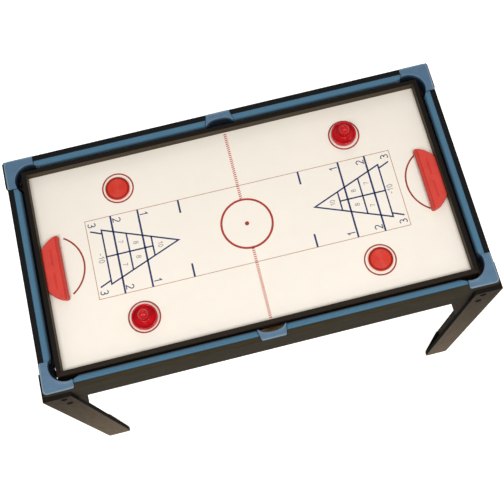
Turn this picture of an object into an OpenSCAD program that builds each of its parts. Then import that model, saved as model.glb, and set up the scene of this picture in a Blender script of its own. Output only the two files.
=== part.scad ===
// Small multi-game table: a pool-table base on four L-shaped legs, with a
// drop-in glide-hockey board, two pucks and two pushers.
// Millimetres. X along the length, Y across, Z up, origin on the floor under the middle.

/* [Table] */
// Length over the end aprons
table_l = 1066; // [900:1:1400]
// Width over the long aprons
table_w = 580; // [480:1:760]
// Height of the pocket castings' tops above the floor
table_h = 820; // [700:1:900]

/* [Aprons and bed] */
// Thickness of the apron boards
apron_t = 12; // [9:0.5:18]
// Height of the apron boards
apron_h = 116; // [96:1:160]
// Thickness of the bed board
bed_t = 12; // [9:0.5:16]
// Thickness of the cloth on the bed
cloth_t = 1; // [0.5:0.1:2]
// Depth of the cloth's top below the castings' tops
bed_drop = 40; // [36:0.5:48]
// Width and height of the wooden cleats under the bed
cleat_s = 15; // [10:0.5:18]

/* [Cushions] */
// Width of a cushion from the apron to its nose
cushion_w = 17.5; // [14:0.5:24]
// Fall of the cushion's top from the apron to its nose
cushion_fall = 4; // [2:0.5:6]
// Radius of the cushion's nose
nose_r = 3; // [2:0.5:4]
// Width of the cushion's foot, under the undercut
cushion_foot = 7; // [5:0.5:10]
// Gap between the cushion's foot and the cloth
cushion_lift = 2; // [1:0.5:4]

/* [Pocket castings] */
// Thickness of the castings' top plates
casting_t = 3; // [2:0.5:5]
// Thickness of the pocket walls, in castings and baskets
wall_t = 2; // [1.5:0.1:3]
// Radius of the pocket holes
pocket_r = 39; // [32:0.5:42]
// Room between a pocket wall and the aprons
pocket_room = 6.5; // [1:0.5:9]
// Length of a corner casting along the table
corner_x = 71; // [64:0.5:95]
// Length of a corner casting across the table
corner_y = 74; // [64:0.5:95]
// Radius of a corner casting's outer corner
corner_r = 9; // [2:0.5:12]
// Width of a side casting at the outer edge
side_outer_w = 57; // [46:0.5:66]
// Width of a side casting at the cushions' noses
side_inner_w = 69; // [66:0.5:84]
// Radius of the side castings' mouths
side_mouth_r = 46; // [40:0.5:50]
// Least width of a side casting, behind its mouth
side_neck = 17.5; // [15:0.5:22]
// Diameter of the pegs under the castings
peg_d = 5; // [4:0.5:6]
// Length of the pegs
peg_l = 8; // [5:0.5:12]
// Distance from a corner casting's end to its peg
peg_in = 12; // [8:0.5:20]
// Distance between a side casting's two pegs
side_peg_gap = 30; // [24:0.5:36]

/* [Pocket baskets] */
// Depth of a basket
basket_h = 46; // [36:1:55]
// Reach of a basket's ears past its wall
ear_reach = 10; // [8:0.5:14]
// Width of the ears
ear_w = 12; // [10:0.5:16]
// Thickness of the ears
ear_t = 3; // [2:0.5:4]
// Width of the slots in a basket's wall
slot_w = 7; // [4:0.5:10]
// Number of slots in a basket's wall
slot_count = 12; // [6:1:16]
// Height of the solid rings below and above the slots
slot_edge = 8; // [5:0.5:12]

/* [Legs] */
// Thickness of the leg boards
leg_t = 10; // [8:0.5:18]
// Width of each face of a leg
leg_w = 66; // [60:1:100]
// Depth of the legs' tops below the castings' tops
leg_drop = 30; // [20:1:40]
// Radius of the lower inner corner of a leg board
foot_r = 10; // [4:0.5:20]
// Thickness of the corner block between a leg's two boards
block_t = 15; // [10:1:30]
// Height of the corner blocks above the floor
block_z = 5; // [4:0.5:20]
// Distance from a leg board's free edge to the corner block
block_in = 2; // [1.5:0.5:8]
// Width of a corner block's blunt ends
block_end = 4; // [2:0.5:8]

/* [Leg bolts] */
// Diameter of the bolts
bolt_d = 6; // [5:0.5:8]
// Diameter of the bolt heads
bolt_head_d = 14; // [12:0.5:18]
// Height of the bolt heads
bolt_head_h = 3.5; // [2.5:0.5:5]
// Distance from a leg's outer corner to its bolts
bolt_in = 45; // [38:0.5:52]
// Distance from a leg's top to the upper bolts
bolt_top = 18; // [15:0.5:30]
// Distance from an apron's lower edge to the lower bolts
bolt_low = 15; // [10:0.5:24]
// Diameter of the threaded inserts in the aprons
insert_d = 10; // [9:0.5:12]

/* [End panels] */
// Height of an end panel's lower edge above the floor
panel_z = 352; // [150:1:420]
// Height of an end panel
panel_h = 200; // [120:1:280]
// Thickness of an end panel
panel_t = 12; // [9:0.5:18]
// Distance from the long aprons' faces to the panel screws
panel_screw_in = 30; // [22:0.5:42]
// Distance from an end panel's edges to its screws
panel_screw_edge = 35; // [20:1:55]

/* [Wood screws] */
// Diameter of the panel screws
screw_d = 4; // [3:0.5:5]
// Diameter of the panel screws' heads
screw_head_d = 9; // [8:0.5:11]
// Height of the panel screws' heads
screw_head_h = 2.5; // [2:0.1:3.5]
// Diameter of the basket screws
small_screw_d = 3; // [2.5:0.5:3.5]
// Diameter of the basket screws' heads
small_head_d = 7; // [6:0.5:8]
// Height of the basket screws' heads
small_head_h = 2; // [1.5:0.1:2.5]
// Depth of the screws' bite in the wood
screw_bite = 8; // [6:0.5:8.5]

/* [Hockey board] */
// Gap between the board's ends and the cushions' noses
board_gap_x = 7.5; // [2:0.5:10]
// Gap between the board's sides and the cushions' noses
board_gap_y = 5; // [2:0.5:10]
// Width of the frame rails
rail_w = 11.5; // [9:0.5:18]
// Depth of the frame's top below the castings' tops
rail_drop = 4.5; // [1:0.5:8]
// Depth of the playing surface below the castings' tops
field_drop = 26; // [20:0.5:28]
// Thickness of the playing panel
field_t = 6; // [4:0.5:9]
// Width of the battens under the panel
batten_w = 30; // [20:1:50]
// Number of battens
batten_count = 4; // [3:1:6]

/* [Goals] */
// Width of a goal at its mouth
goal_w = 162; // [130:1:190]
// Width of a goal at the frame
goal_back_w = 112; // [90:1:124]
// Depth of a goal from the frame to its mouth
goal_depth = 48.5; // [36:0.5:55]
// Height of a goal
goal_h = 13; // [11.5:0.5:18]
// Thickness of a goal's roof
goal_roof = 3; // [2:0.5:4]
// Thickness of a goal's walls
goal_wall = 4.5; // [3:0.5:6]
// Radius of a goal's front corners
goal_r = 4; // [2:0.5:6]
// Width of the lip along a goal's mouth
goal_lip_w = 9; // [6:0.5:14]
// Height of the lip above the roof
goal_lip_h = 1.2; // [0.5:0.1:2]

/* [Pucks and pushers] */
// Distance from the frame's ends to the face-off spots
spot_in_x = 202; // [110:1:260]
// Distance from the frame's sides to the face-off spots
spot_in_y = 80; // [45:1:110]
// Shift of the printed spots towards the right end
spot_shift = 4.7; // [-8:0.1:8]
// Diameter of a puck
puck_d = 59; // [50:0.5:64]
// Thickness of a puck
puck_t = 6; // [4:0.5:8]
// Width of a puck's raised rim
puck_rim = 5; // [3:0.5:9]
// Diameter of a pusher's base
pusher_d = 61; // [54:0.5:72]
// Height of a pusher's rim
pusher_rim_h = 13; // [10:0.5:18]
// Width of a pusher's rim
pusher_rim_w = 5; // [4:0.5:8]
// Thickness of a pusher's floor
pusher_floor = 4; // [3:0.5:6]
// Height of a pusher with its knob
pusher_h = 43; // [36:0.5:55]
// Diameter of a pusher's knob
knob_d = 25; // [20:0.5:28]
// Diameter of the neck below the knob
neck_d = 17; // [13:0.5:19]
// Radius of the fillet between the neck and the floor
neck_fillet = 3; // [1:0.5:4]
// Bevel round a pusher's underside
foot_bevel = 1; // [0.5:0.1:2]

/* [Clearances] */
// Gap between a cushion's end and a casting
cushion_gap = 0.4; // [0.2:0.1:1]
// Room on the diameter of a bolt, screw or peg in its hole
hole_room = 0.4; // [0.2:0.1:1]
// Gap between a cleat and a basket
cleat_gap = 4; // [2:0.5:10]
// Gap between a pocket wall and the cloth
skirt_gap = 0.5; // [0.3:0.1:2]

/* [Hidden] */
$fn = 64;
cut = 1;
half_l = table_l / 2;
half_w = table_w / 2;
apron_top = table_h - casting_t;
apron_bottom = apron_top - apron_h;
cloth_top = table_h - bed_drop;
bed_top = cloth_top - cloth_t;
bed_bottom = bed_top - bed_t;
nose_in = apron_t + cushion_w;
pocket_in = apron_t + pocket_room + wall_t + pocket_r;
side_mouth_v = side_neck + side_mouth_r;
ear_end = pocket_r + wall_t + ear_reach;
cleat_clear = pocket_r + wall_t + cleat_gap;
leg_h = table_h - leg_drop;
bolt_heights = [leg_h - bolt_top, apron_bottom + bolt_low];
panel_screw_heights = [panel_z + panel_screw_edge, panel_z + panel_h - panel_screw_edge];
board_l = table_l - 2 * (nose_in + board_gap_x);
board_w = table_w - 2 * (nose_in + board_gap_y);
field_l = board_l - 2 * rail_w;
field_w = board_w - 2 * rail_w;
rail_top = table_h - rail_drop;
field_top = table_h - field_drop;
field_bottom = field_top - field_t;
spot_x = field_l / 2 - spot_in_x;
spot_y = field_w / 2 - spot_in_y;
goal_steps = 10;
knob_steps = 12;

wood = [0.24, 0.21, 0.18];
leg_wood = [0.36, 0.33, 0.29];
raw_wood = [0.72, 0.58, 0.42];
frame_wood = [0.22, 0.17, 0.14];
cloth_blue = [0.27, 0.45, 0.60];
casting_blue = [0.43, 0.55, 0.70];
basket_brown = [0.2, 0.17, 0.13];
block_black = [0.07, 0.07, 0.08];
steel = [0.25, 0.25, 0.27];
field_cream = [0.95, 0.91, 0.86];
goal_red = [0.86, 0.25, 0.23];
puck_red = [0.80, 0.20, 0.19];
pusher_red = [0.74, 0.08, 0.14];

// Puts its children, drawn from the outer corner inwards, at the corner on sides sx and sy.
module at_corner(sx, sy) {
    translate([sx * half_l, sy * half_w, 0])
        mirror([sx > 0 ? 1 : 0, 0, 0])
            mirror([0, sy > 0 ? 1 : 0, 0])
                children();
}

// Puts its children, drawn from the outer edge inwards, at the middle of long side sy.
module at_side(sy) {
    translate([0, sy * half_w, 0])
        mirror([0, sy > 0 ? 1 : 0, 0])
            children();
}

// Puts its children at all four corners.
module at_corners() {
    for (sx = [-1, 1], sy = [-1, 1])
        at_corner(sx, sy) children();
}

// A cylinder that runs along +Y from the origin.
module rod_y(d, l) {
    rotate([-90, 0, 0]) cylinder(d = d, h = l);
}

// A cylinder that runs along +X from the origin.
module rod_x(d, l) {
    rotate([0, 90, 0]) cylinder(d = d, h = l);
}

// The bolt places on a corner's long side, as children on the legs' outer face pointing in along +Y.
module side_bolt_places() {
    for (z = bolt_heights)
        translate([bolt_in - leg_t, -leg_t, z]) children();
}

// The bolt places on a corner's end, as children on the legs' outer face pointing in along +X.
module end_bolt_places() {
    for (z = bolt_heights)
        translate([-leg_t, bolt_in - leg_t, z]) children();
}

// The screw places of an end panel at one corner, pointing in along +X.
module panel_screw_places() {
    for (z = panel_screw_heights)
        translate([-leg_t, panel_screw_in, z]) children();
}

// The peg places of a corner casting on the aprons' tops.
module corner_peg_places() {
    translate([corner_x - peg_in, apron_t / 2, apron_top - peg_l]) children();
    translate([apron_t / 2, corner_y - peg_in, apron_top - peg_l]) children();
}

// The peg places of a side casting on the apron's top.
module side_peg_places() {
    for (s = [-1, 1])
        translate([s * side_peg_gap / 2, apron_t / 2, apron_top - peg_l]) children();
}

// Puts its children at the pocket's centre, for a corner and for a side.
module at_corner_pocket(sx, sy) {
    at_corner(sx, sy) translate([pocket_in, pocket_in, 0]) children();
}

module at_side_pocket(sy) {
    at_side(sy) translate([0, pocket_in, 0]) children();
}

// The holes that every apron has: for inserts at the legs and for the castings' pegs.
module apron_holes() {
    at_corners() {
        side_bolt_places() rod_y(insert_d, leg_t + apron_t + cut);
        end_bolt_places() rod_x(insert_d, leg_t + apron_t + cut);
        corner_peg_places() cylinder(d = peg_d + hole_room, h = peg_l + cut);
    }
    for (sy = [-1, 1])
        at_side(sy) side_peg_places() cylinder(d = peg_d + hole_room, h = peg_l + cut);
}

module long_apron(sy) {
    color(wood) difference() {
        at_side(sy) translate([-half_l, 0, apron_bottom]) cube([table_l, apron_t, apron_h]);
        apron_holes();
    }
}

module end_apron(sx) {
    color(wood) difference() {
        at_corner(sx, -1) translate([0, apron_t, apron_bottom])
            cube([apron_t, table_w - 2 * apron_t, apron_h]);
        apron_holes();
    }
}

// The plan of the bed inside the aprons, with its six pocket holes.
module bed_plan() {
    difference() {
        square([table_l - 2 * apron_t, table_w - 2 * apron_t], center = true);
        for (sx = [-1, 1], sy = [-1, 1])
            translate([sx * (half_l - pocket_in), sy * (half_w - pocket_in)]) circle(r = pocket_r);
        for (sy = [-1, 1])
            translate([0, sy * (half_w - pocket_in)]) circle(r = pocket_r);
    }
}

module bed_board() {
    color(raw_wood) difference() {
        translate([0, 0, bed_bottom]) linear_extrude(bed_t) bed_plan();
        basket_screw_places() cylinder(d = small_screw_d + hole_room, h = ear_t + screw_bite + cut);
    }
}

module bed_cloth() {
    color(cloth_blue) translate([0, 0, bed_top]) linear_extrude(cloth_t) bed_plan();
}

// Wooden strips on the aprons' inner faces, which carry the bed between the pockets.
module bed_cleats() {
    run_l = half_l - pocket_in - 2 * cleat_clear;
    end_l = table_w - 2 * (pocket_in + cleat_clear);
    color(raw_wood) translate([0, 0, bed_bottom - cleat_s]) {
        for (sx = [-1, 1], sy = [-1, 1])
            at_corner(sx, sy) translate([pocket_in + cleat_clear, apron_t, 0])
                cube([run_l, cleat_s, cleat_s]);
        for (sx = [-1, 1])
            at_corner(sx, -1) translate([apron_t, pocket_in + cleat_clear, 0])
                cube([cleat_s, end_l, cleat_s]);
    }
}

// Section of a cushion: back face at x = 0, sloping top, round nose, undercut below the nose.
module cushion_section() {
    nose_z = apron_top - cushion_fall - nose_r;
    foot_z = cloth_top + cushion_lift;
    polygon(concat(
        [[0, foot_z], [cushion_foot, foot_z]],
        [for (a = [-40:20:80]) [cushion_w - nose_r + nose_r * cos(a), nose_z + nose_r * sin(a)]],
        [[0, apron_top]]
    ));
}

// A cushion of a long side, drawn at a corner, from the corner casting to the side casting.
module long_cushion(sx, sy) {
    slant = (side_inner_w - side_outer_w) / 2 / nose_in;
    start = corner_x + cushion_gap;
    color(cloth_blue) at_corner(sx, sy) difference() {
        translate([start, apron_t, 0])
            rotate([90, 0, 90]) linear_extrude(half_l - start) cushion_section();
        translate([pocket_in, pocket_in, 0]) cylinder(r = pocket_r, h = table_h);
        translate([half_l, 0, 0]) linear_extrude(table_h)
            polygon([
                [-side_outer_w / 2 - cushion_gap, 0],
                [-side_inner_w / 2 - cushion_gap - slant * cut, nose_in + cut],
                [cut, nose_in + cut],
                [cut, 0]
            ]);
    }
}

module end_cushion(sx) {
    start = corner_y + cushion_gap;
    color(cloth_blue) at_corner(sx, -1) difference() {
        translate([apron_t, table_w - start, 0])
            rotate([90, 0, 0]) linear_extrude(table_w - 2 * start) cushion_section();
        for (y = [pocket_in, table_w - pocket_in])
            translate([pocket_in, y, 0]) cylinder(r = pocket_r, h = table_h);
    }
}

// Plan of a corner casting, with the pocket's arc and the open mouth taken out.
module corner_plan() {
    difference() {
        union() {
            translate([corner_r, 0]) square([corner_x - corner_r, corner_y]);
            translate([0, corner_r]) square([corner_x, corner_y - corner_r]);
            translate([corner_r, corner_r]) circle(r = corner_r);
        }
        translate([pocket_in, pocket_in]) circle(r = pocket_r);
        translate([pocket_in, nose_in]) square([corner_x, corner_y]);
        translate([nose_in, pocket_in]) square([corner_x, corner_y]);
    }
}

module corner_casting(sx, sy) {
    wall_z = cloth_top + skirt_gap;
    color(casting_blue) at_corner(sx, sy) {
        translate([0, 0, apron_top]) linear_extrude(casting_t) corner_plan();
        translate([0, 0, wall_z]) linear_extrude(apron_top - wall_z)
            intersection() {
                corner_plan();
                translate([pocket_in, pocket_in]) circle(r = pocket_r + wall_t);
            }
        corner_peg_places() cylinder(d = peg_d, h = peg_l);
    }
}

// Plan of a side casting: wider at the cushions' noses, with an arc for the mouth.
module side_plan() {
    difference() {
        polygon([
            [-side_outer_w / 2, 0], [side_outer_w / 2, 0],
            [side_inner_w / 2, nose_in], [-side_inner_w / 2, nose_in]
        ]);
        translate([0, side_mouth_v]) circle(r = side_mouth_r);
    }
}

module side_casting(sy) {
    wall_z = cloth_top + skirt_gap;
    color(casting_blue) at_side(sy) {
        translate([0, 0, apron_top]) linear_extrude(casting_t) side_plan();
        translate([0, 0, wall_z]) linear_extrude(apron_top - wall_z)
            intersection() {
                side_plan();
                translate([0, side_mouth_v]) circle(r = side_mouth_r + wall_t);
                translate([-side_inner_w / 2, apron_t]) square([side_inner_w, nose_in]);
            }
        side_peg_places() cylinder(d = peg_d, h = peg_l);
    }
}

// A moulded cup with slots in its wall, under the bed, with two screwed ears that point along the
// given angles.
module basket(ear_angles) {
    top = bed_bottom;
    color(basket_brown) difference() {
        union() {
            translate([0, 0, top - basket_h]) cylinder(r = pocket_r + wall_t, h = basket_h);
            for (a = ear_angles)
                rotate([0, 0, a]) translate([0, 0, top - ear_t]) {
                    translate([0, -ear_w / 2, 0]) cube([ear_end, ear_w, ear_t]);
                    translate([ear_end, 0, 0]) cylinder(d = ear_w, h = ear_t);
                }
        }
        translate([0, 0, top - basket_h + wall_t]) cylinder(r = pocket_r, h = basket_h);
        for (i = [0:slot_count - 1])
            rotate([0, 0, 360 * (i + 0.5) / slot_count])
                translate([pocket_r - wall_t, -slot_w / 2, top - basket_h + slot_edge])
                    cube([3 * wall_t, slot_w, basket_h - 2 * slot_edge]);
        for (a = ear_angles)
            rotate([0, 0, a]) translate([ear_end, 0, top - ear_t - cut])
                cylinder(d = small_screw_d + hole_room, h = ear_t + 2 * cut);
    }
}

corner_ears = [0, 90];
side_ears = [0, 180];

module corner_basket(sx, sy) {
    at_corner_pocket(sx, sy) basket(corner_ears);
}

module side_basket(sy) {
    at_side_pocket(sy) basket(side_ears);
}

// Every basket screw's place, on the underside of the ears.
module basket_screw_places() {
    for (sx = [-1, 1], sy = [-1, 1], a = corner_ears)
        at_corner_pocket(sx, sy) rotate([0, 0, a]) translate([ear_end, 0, bed_bottom - ear_t]) children();
    for (sy = [-1, 1], a = side_ears)
        at_side_pocket(sy) rotate([0, 0, a]) translate([ear_end, 0, bed_bottom - ear_t]) children();
}

module basket_screws() {
    color(steel) basket_screw_places() {
        translate([0, 0, -small_head_h]) cylinder(d = small_head_d, h = small_head_h);
        cylinder(d = small_screw_d, h = ear_t + screw_bite);
    }
}

// Outline of a leg board of width w: outer edge at x = 0, round lower inner corner.
module leg_outline(w) {
    polygon(concat(
        [[0, 0]],
        [for (a = [-90:15:0]) [w - foot_r + foot_r * cos(a), foot_r + foot_r * sin(a)]],
        [[w, leg_h], [0, leg_h]]
    ));
}

// A leg's board on the long side, which covers the end board's edge.
module leg_side_board(sx, sy) {
    color(leg_wood) at_corner(sx, sy) difference() {
        translate([-leg_t, 0, 0])
            rotate([90, 0, 0]) linear_extrude(leg_t) leg_outline(leg_w);
        translate([0, -cut, 0]) side_bolt_places() rod_y(bolt_d + hole_room, leg_t + 2 * cut);
    }
}

// A leg's board on the end, behind the board on the long side.
module leg_end_board(sx, sy) {
    color(leg_wood) at_corner(sx, sy) difference() {
        translate([-leg_t, 0, 0])
            rotate([90, 0, 90]) linear_extrude(leg_t) leg_outline(leg_w - leg_t);
        translate([-cut, 0, 0]) end_bolt_places() rod_x(bolt_d + hole_room, leg_t + 2 * cut);
        translate([-cut, 0, 0]) panel_screw_places() rod_x(screw_d + hole_room, leg_t + 2 * cut);
    }
}

// A three-sided block that joins a leg's two boards near the floor.
module foot_block(sx, sy) {
    reach = leg_w - leg_t - block_in;
    color(block_black) at_corner(sx, sy) translate([0, 0, block_z]) linear_extrude(block_t)
        polygon([[0, 0], [reach, 0], [reach, block_end], [block_end, reach], [0, reach]]);
}

// Flat-headed bolts through the leg boards into the aprons' inserts.
module leg_bolts() {
    color(steel) at_corners() {
        side_bolt_places() {
            translate([0, -bolt_head_h, 0]) rod_y(bolt_head_d, bolt_head_h);
            rod_y(bolt_d, leg_t + apron_t);
        }
        end_bolt_places() {
            translate([-bolt_head_h, 0, 0]) rod_x(bolt_head_d, bolt_head_h);
            rod_x(bolt_d, leg_t + apron_t);
        }
    }
}

// Threaded sleeves that sit flush in the aprons.
module leg_inserts() {
    color(steel) at_corners() {
        side_bolt_places() translate([0, leg_t, 0]) difference() {
            rod_y(insert_d, apron_t);
            translate([0, -cut, 0]) rod_y(bolt_d + hole_room, apron_t + 2 * cut);
        }
        end_bolt_places() translate([leg_t, 0, 0]) difference() {
            rod_x(insert_d, apron_t);
            translate([-cut, 0, 0]) rod_x(bolt_d + hole_room, apron_t + 2 * cut);
        }
    }
}

// A board across one end, inside the two leg boards that it is screwed to.
module end_panel(sx) {
    color(leg_wood) difference() {
        at_corner(sx, -1) translate([0, 0, panel_z]) cube([panel_t, table_w, panel_h]);
        for (sy = [-1, 1])
            at_corner(sx, sy) panel_screw_places() rod_x(screw_d + hole_room, leg_t + screw_bite + cut);
    }
}

module panel_screws() {
    color(steel) at_corners() panel_screw_places() {
        translate([-screw_head_h, 0, 0]) rod_x(screw_head_d, screw_head_h);
        rod_x(screw_d, leg_t + screw_bite);
    }
}

module playfield_panel() {
    color(field_cream) translate([-field_l / 2, -field_w / 2, field_bottom])
        cube([field_l, field_w, field_t]);
}

// A mitred frame rail: outer length l, standing on the cloth, with its outer face at y = 0.
module frame_rail(l) {
    color(frame_wood) translate([0, 0, cloth_top]) linear_extrude(rail_top - cloth_top)
        polygon([[-l / 2, 0], [l / 2, 0], [l / 2 - rail_w, rail_w], [-l / 2 + rail_w, rail_w]]);
}

module side_rail(sy) {
    translate([0, sy * board_w / 2, 0]) rotate([0, 0, sy > 0 ? 180 : 0]) frame_rail(board_l);
}

module end_rail(sx) {
    translate([sx * board_l / 2, 0, 0]) rotate([0, 0, sx > 0 ? 90 : -90]) frame_rail(board_w);
}

// Wooden strips across the board, between the playing panel and the cloth.
module field_battens() {
    pitch = field_l / batten_count;
    color(raw_wood) for (i = [0:batten_count - 1])
        translate([-field_l / 2 + pitch * (i + 0.5) - batten_w / 2, -field_w / 2, cloth_top])
            cube([batten_w, field_w, field_bottom - cloth_top]);
}

// Half width of a goal at depth u from the frame: the sides bow out in a quarter sine wave.
function goal_half(u) = (goal_back_w + (goal_w - goal_back_w) * sin(90 * min(u / goal_depth, 1))) / 2;

// The shape between a row of points and its mirror image on the other side of the X axis.
module both_sides(points) {
    last = len(points) - 1;
    polygon(concat(points, [for (i = [0:last]) [points[last - i].x, -points[last - i].y]]));
}

// Plan of a goal from the frame at x = 0 to its mouth, with round front corners.
module goal_plan() {
    corner_u = goal_depth - goal_r;
    corner_v = goal_half(corner_u) - goal_r;
    both_sides(concat(
        [for (i = [0:goal_steps]) let (u = corner_u * i / goal_steps) [u, goal_half(u)]],
        [for (a = [75:-15:0]) [corner_u + goal_r * cos(a), corner_v + goal_r * sin(a)]]
    ));
}

// Plan of the room inside a goal, open at the mouth.
module goal_room_plan() {
    both_sides(concat(
        [for (i = [0:goal_steps]) let (u = goal_wall + (goal_depth - goal_wall) * i / goal_steps)
            [u, goal_half(u) - goal_wall]],
        [[goal_depth + cut, goal_half(goal_depth) - goal_wall]]
    ));
}

// A low hood on the playing surface, open towards the field.
module goal(sx) {
    color(goal_red) translate([sx * field_l / 2, 0, field_top])
        mirror([sx > 0 ? 1 : 0, 0, 0]) difference() {
            union() {
                linear_extrude(goal_h) goal_plan();
                linear_extrude(goal_h + goal_lip_h) intersection() {
                    goal_plan();
                    translate([goal_depth - goal_lip_w, -goal_w / 2]) square([goal_lip_w, goal_w]);
                }
            }
            translate([0, 0, -cut]) linear_extrude(goal_h - goal_roof + cut) goal_room_plan();
        }
}

// Puts its children on the face-off spot on sides sx and sy.
module at_spot(sx, sy) {
    translate([sx * spot_x + spot_shift, sy * spot_y, field_top]) children();
}

// A disc with bevelled edges and a shallow round recess in its top.
module puck(sx, sy) {
    r = puck_d / 2;
    bevel = puck_t / 6;
    color(puck_red) at_spot(sx, sy) rotate_extrude() polygon([
        [0, 0], [r - bevel, 0], [r, bevel], [r, puck_t - bevel], [r - bevel, puck_t],
        [r - puck_rim, puck_t], [r - puck_rim - bevel, puck_t - bevel], [0, puck_t - bevel]
    ]);
}

// A dish with a raised rim and a round knob in the middle, as one moulding.
module pusher(sx, sy) {
    r = pusher_d / 2;
    edge = pusher_rim_w / 2;
    knob_r = knob_d / 2;
    neck_r = neck_d / 2;
    knob_z = pusher_h - knob_r;
    neck_top = knob_z - sqrt(knob_r * knob_r - neck_r * neck_r);
    neck_a = asin((neck_top - knob_z) / knob_r);
    fillet = min(neck_fillet, (neck_top - pusher_floor) / 2);
    color(pusher_red) at_spot(sx, sy) rotate_extrude() polygon(concat(
        [[0, 0], [r - foot_bevel, 0], [r, foot_bevel]],
        [for (a = [0:15:180]) [r - edge + edge * cos(a), pusher_rim_h - edge + edge * sin(a)]],
        [[r - pusher_rim_w, pusher_floor]],
        [for (a = [0:15:90]) [neck_r + fillet - fillet * sin(a), pusher_floor + fillet - fillet * cos(a)]],
        [for (i = [0:knob_steps]) let (a = neck_a + i / knob_steps * (90 - neck_a))
            [knob_r * cos(a), knob_z + knob_r * sin(a)]]
    ));
}

long_apron(-1);  // apron_front
long_apron(1);  // apron_back
end_apron(-1);  // apron_left
end_apron(1);  // apron_right
bed_board();
bed_cloth();
bed_cleats();
long_cushion(-1, -1);  // cushion_front_left
long_cushion(1, -1);  // cushion_front_right
long_cushion(-1, 1);  // cushion_back_left
long_cushion(1, 1);  // cushion_back_right
end_cushion(-1);  // cushion_end_left
end_cushion(1);  // cushion_end_right
corner_casting(-1, -1);  // corner_casting_front_left
corner_casting(1, -1);  // corner_casting_front_right
corner_casting(-1, 1);  // corner_casting_back_left
corner_casting(1, 1);  // corner_casting_back_right
side_casting(-1);  // side_casting_front
side_casting(1);  // side_casting_back
corner_basket(-1, -1);  // basket_front_left
corner_basket(1, -1);  // basket_front_right
corner_basket(-1, 1);  // basket_back_left
corner_basket(1, 1);  // basket_back_right
side_basket(-1);  // basket_front_middle
side_basket(1);  // basket_back_middle
basket_screws();
leg_side_board(-1, -1);  // leg_front_left_side
leg_side_board(1, -1);  // leg_front_right_side
leg_side_board(-1, 1);  // leg_back_left_side
leg_side_board(1, 1);  // leg_back_right_side
leg_end_board(-1, -1);  // leg_front_left_end
leg_end_board(1, -1);  // leg_front_right_end
leg_end_board(-1, 1);  // leg_back_left_end
leg_end_board(1, 1);  // leg_back_right_end
foot_block(-1, -1);  // foot_block_front_left
foot_block(1, -1);  // foot_block_front_right
foot_block(-1, 1);  // foot_block_back_left
foot_block(1, 1);  // foot_block_back_right
leg_bolts();
leg_inserts();
end_panel(-1);  // end_panel_left
end_panel(1);  // end_panel_right
panel_screws();
playfield_panel();
side_rail(-1);  // frame_rail_front
side_rail(1);  // frame_rail_back
end_rail(-1);  // frame_rail_left
end_rail(1);  // frame_rail_right
field_battens();
goal(-1);  // goal_left
goal(1);  // goal_right
puck(-1, 1);  // puck_left
puck(1, -1);  // puck_right
pusher(-1, -1);  // pusher_left
pusher(1, 1);  // pusher_right
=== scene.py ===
"""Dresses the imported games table: boards, cushions, castings, printed field, goals, pucks and pushers.

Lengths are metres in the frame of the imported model: X along the table, Y across it, Z up.
"""

import bpy
import numpy as np
from bpy.props import FloatProperty, FloatVectorProperty, PointerProperty
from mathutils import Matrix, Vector


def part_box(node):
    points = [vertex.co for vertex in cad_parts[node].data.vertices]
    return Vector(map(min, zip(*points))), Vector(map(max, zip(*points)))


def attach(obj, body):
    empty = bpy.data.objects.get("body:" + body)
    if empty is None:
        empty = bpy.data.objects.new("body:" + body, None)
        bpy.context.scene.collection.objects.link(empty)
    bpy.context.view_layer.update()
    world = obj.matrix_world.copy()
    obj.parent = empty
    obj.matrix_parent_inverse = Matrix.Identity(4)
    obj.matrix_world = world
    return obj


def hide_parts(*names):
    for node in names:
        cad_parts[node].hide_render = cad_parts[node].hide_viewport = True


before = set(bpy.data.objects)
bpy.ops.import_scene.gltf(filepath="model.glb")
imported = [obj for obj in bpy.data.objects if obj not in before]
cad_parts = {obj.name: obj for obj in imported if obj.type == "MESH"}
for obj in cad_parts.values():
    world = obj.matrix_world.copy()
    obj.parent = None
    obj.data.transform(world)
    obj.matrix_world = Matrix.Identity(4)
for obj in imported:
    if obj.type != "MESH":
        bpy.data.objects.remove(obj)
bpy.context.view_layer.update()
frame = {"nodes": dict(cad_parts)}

bl_info = {
    "name": "Games table dresser",
    "version": (1, 0, 0),
    "blender": (4, 5, 0),
    "location": "View3D > Sidebar > Games table",
    "description": "Builds the visible pieces and finishes of a games table with a drop-in hockey board",
    "category": "Object",
}

MM = 0.001
QUARTER = np.pi / 2
CORNERS = [(sx, sy) for sy in (-1, 1) for sx in (-1, 1)]
END = {-1: "left", 1: "right"}
SIDE = {-1: "front", 1: "back"}


# Sizes and colours


def display(red, green, blue):
    """Linear colour of three display values from 0 to 255, by the usual sRGB curve."""
    c = np.array([red, green, blue]) / 255
    return tuple(np.where(c <= 0.04045, c / 12.92, ((c + 0.055) / 1.055) ** 2.4))


def colour(name, description, *values):
    """A colour property with its default in display values."""
    return FloatVectorProperty(
        name=name, description=description, subtype="COLOR", size=3, min=0, max=1, default=display(*values)
    )


def length(name, description, millimetres):
    """A length property with its default in millimetres."""
    return FloatProperty(
        name=name, description=description, default=millimetres * MM, min=0, unit="LENGTH", precision=5
    )


def amount(name, description, default):
    """A property that is a plain number."""
    return FloatProperty(name=name, description=description, default=default)


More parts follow.
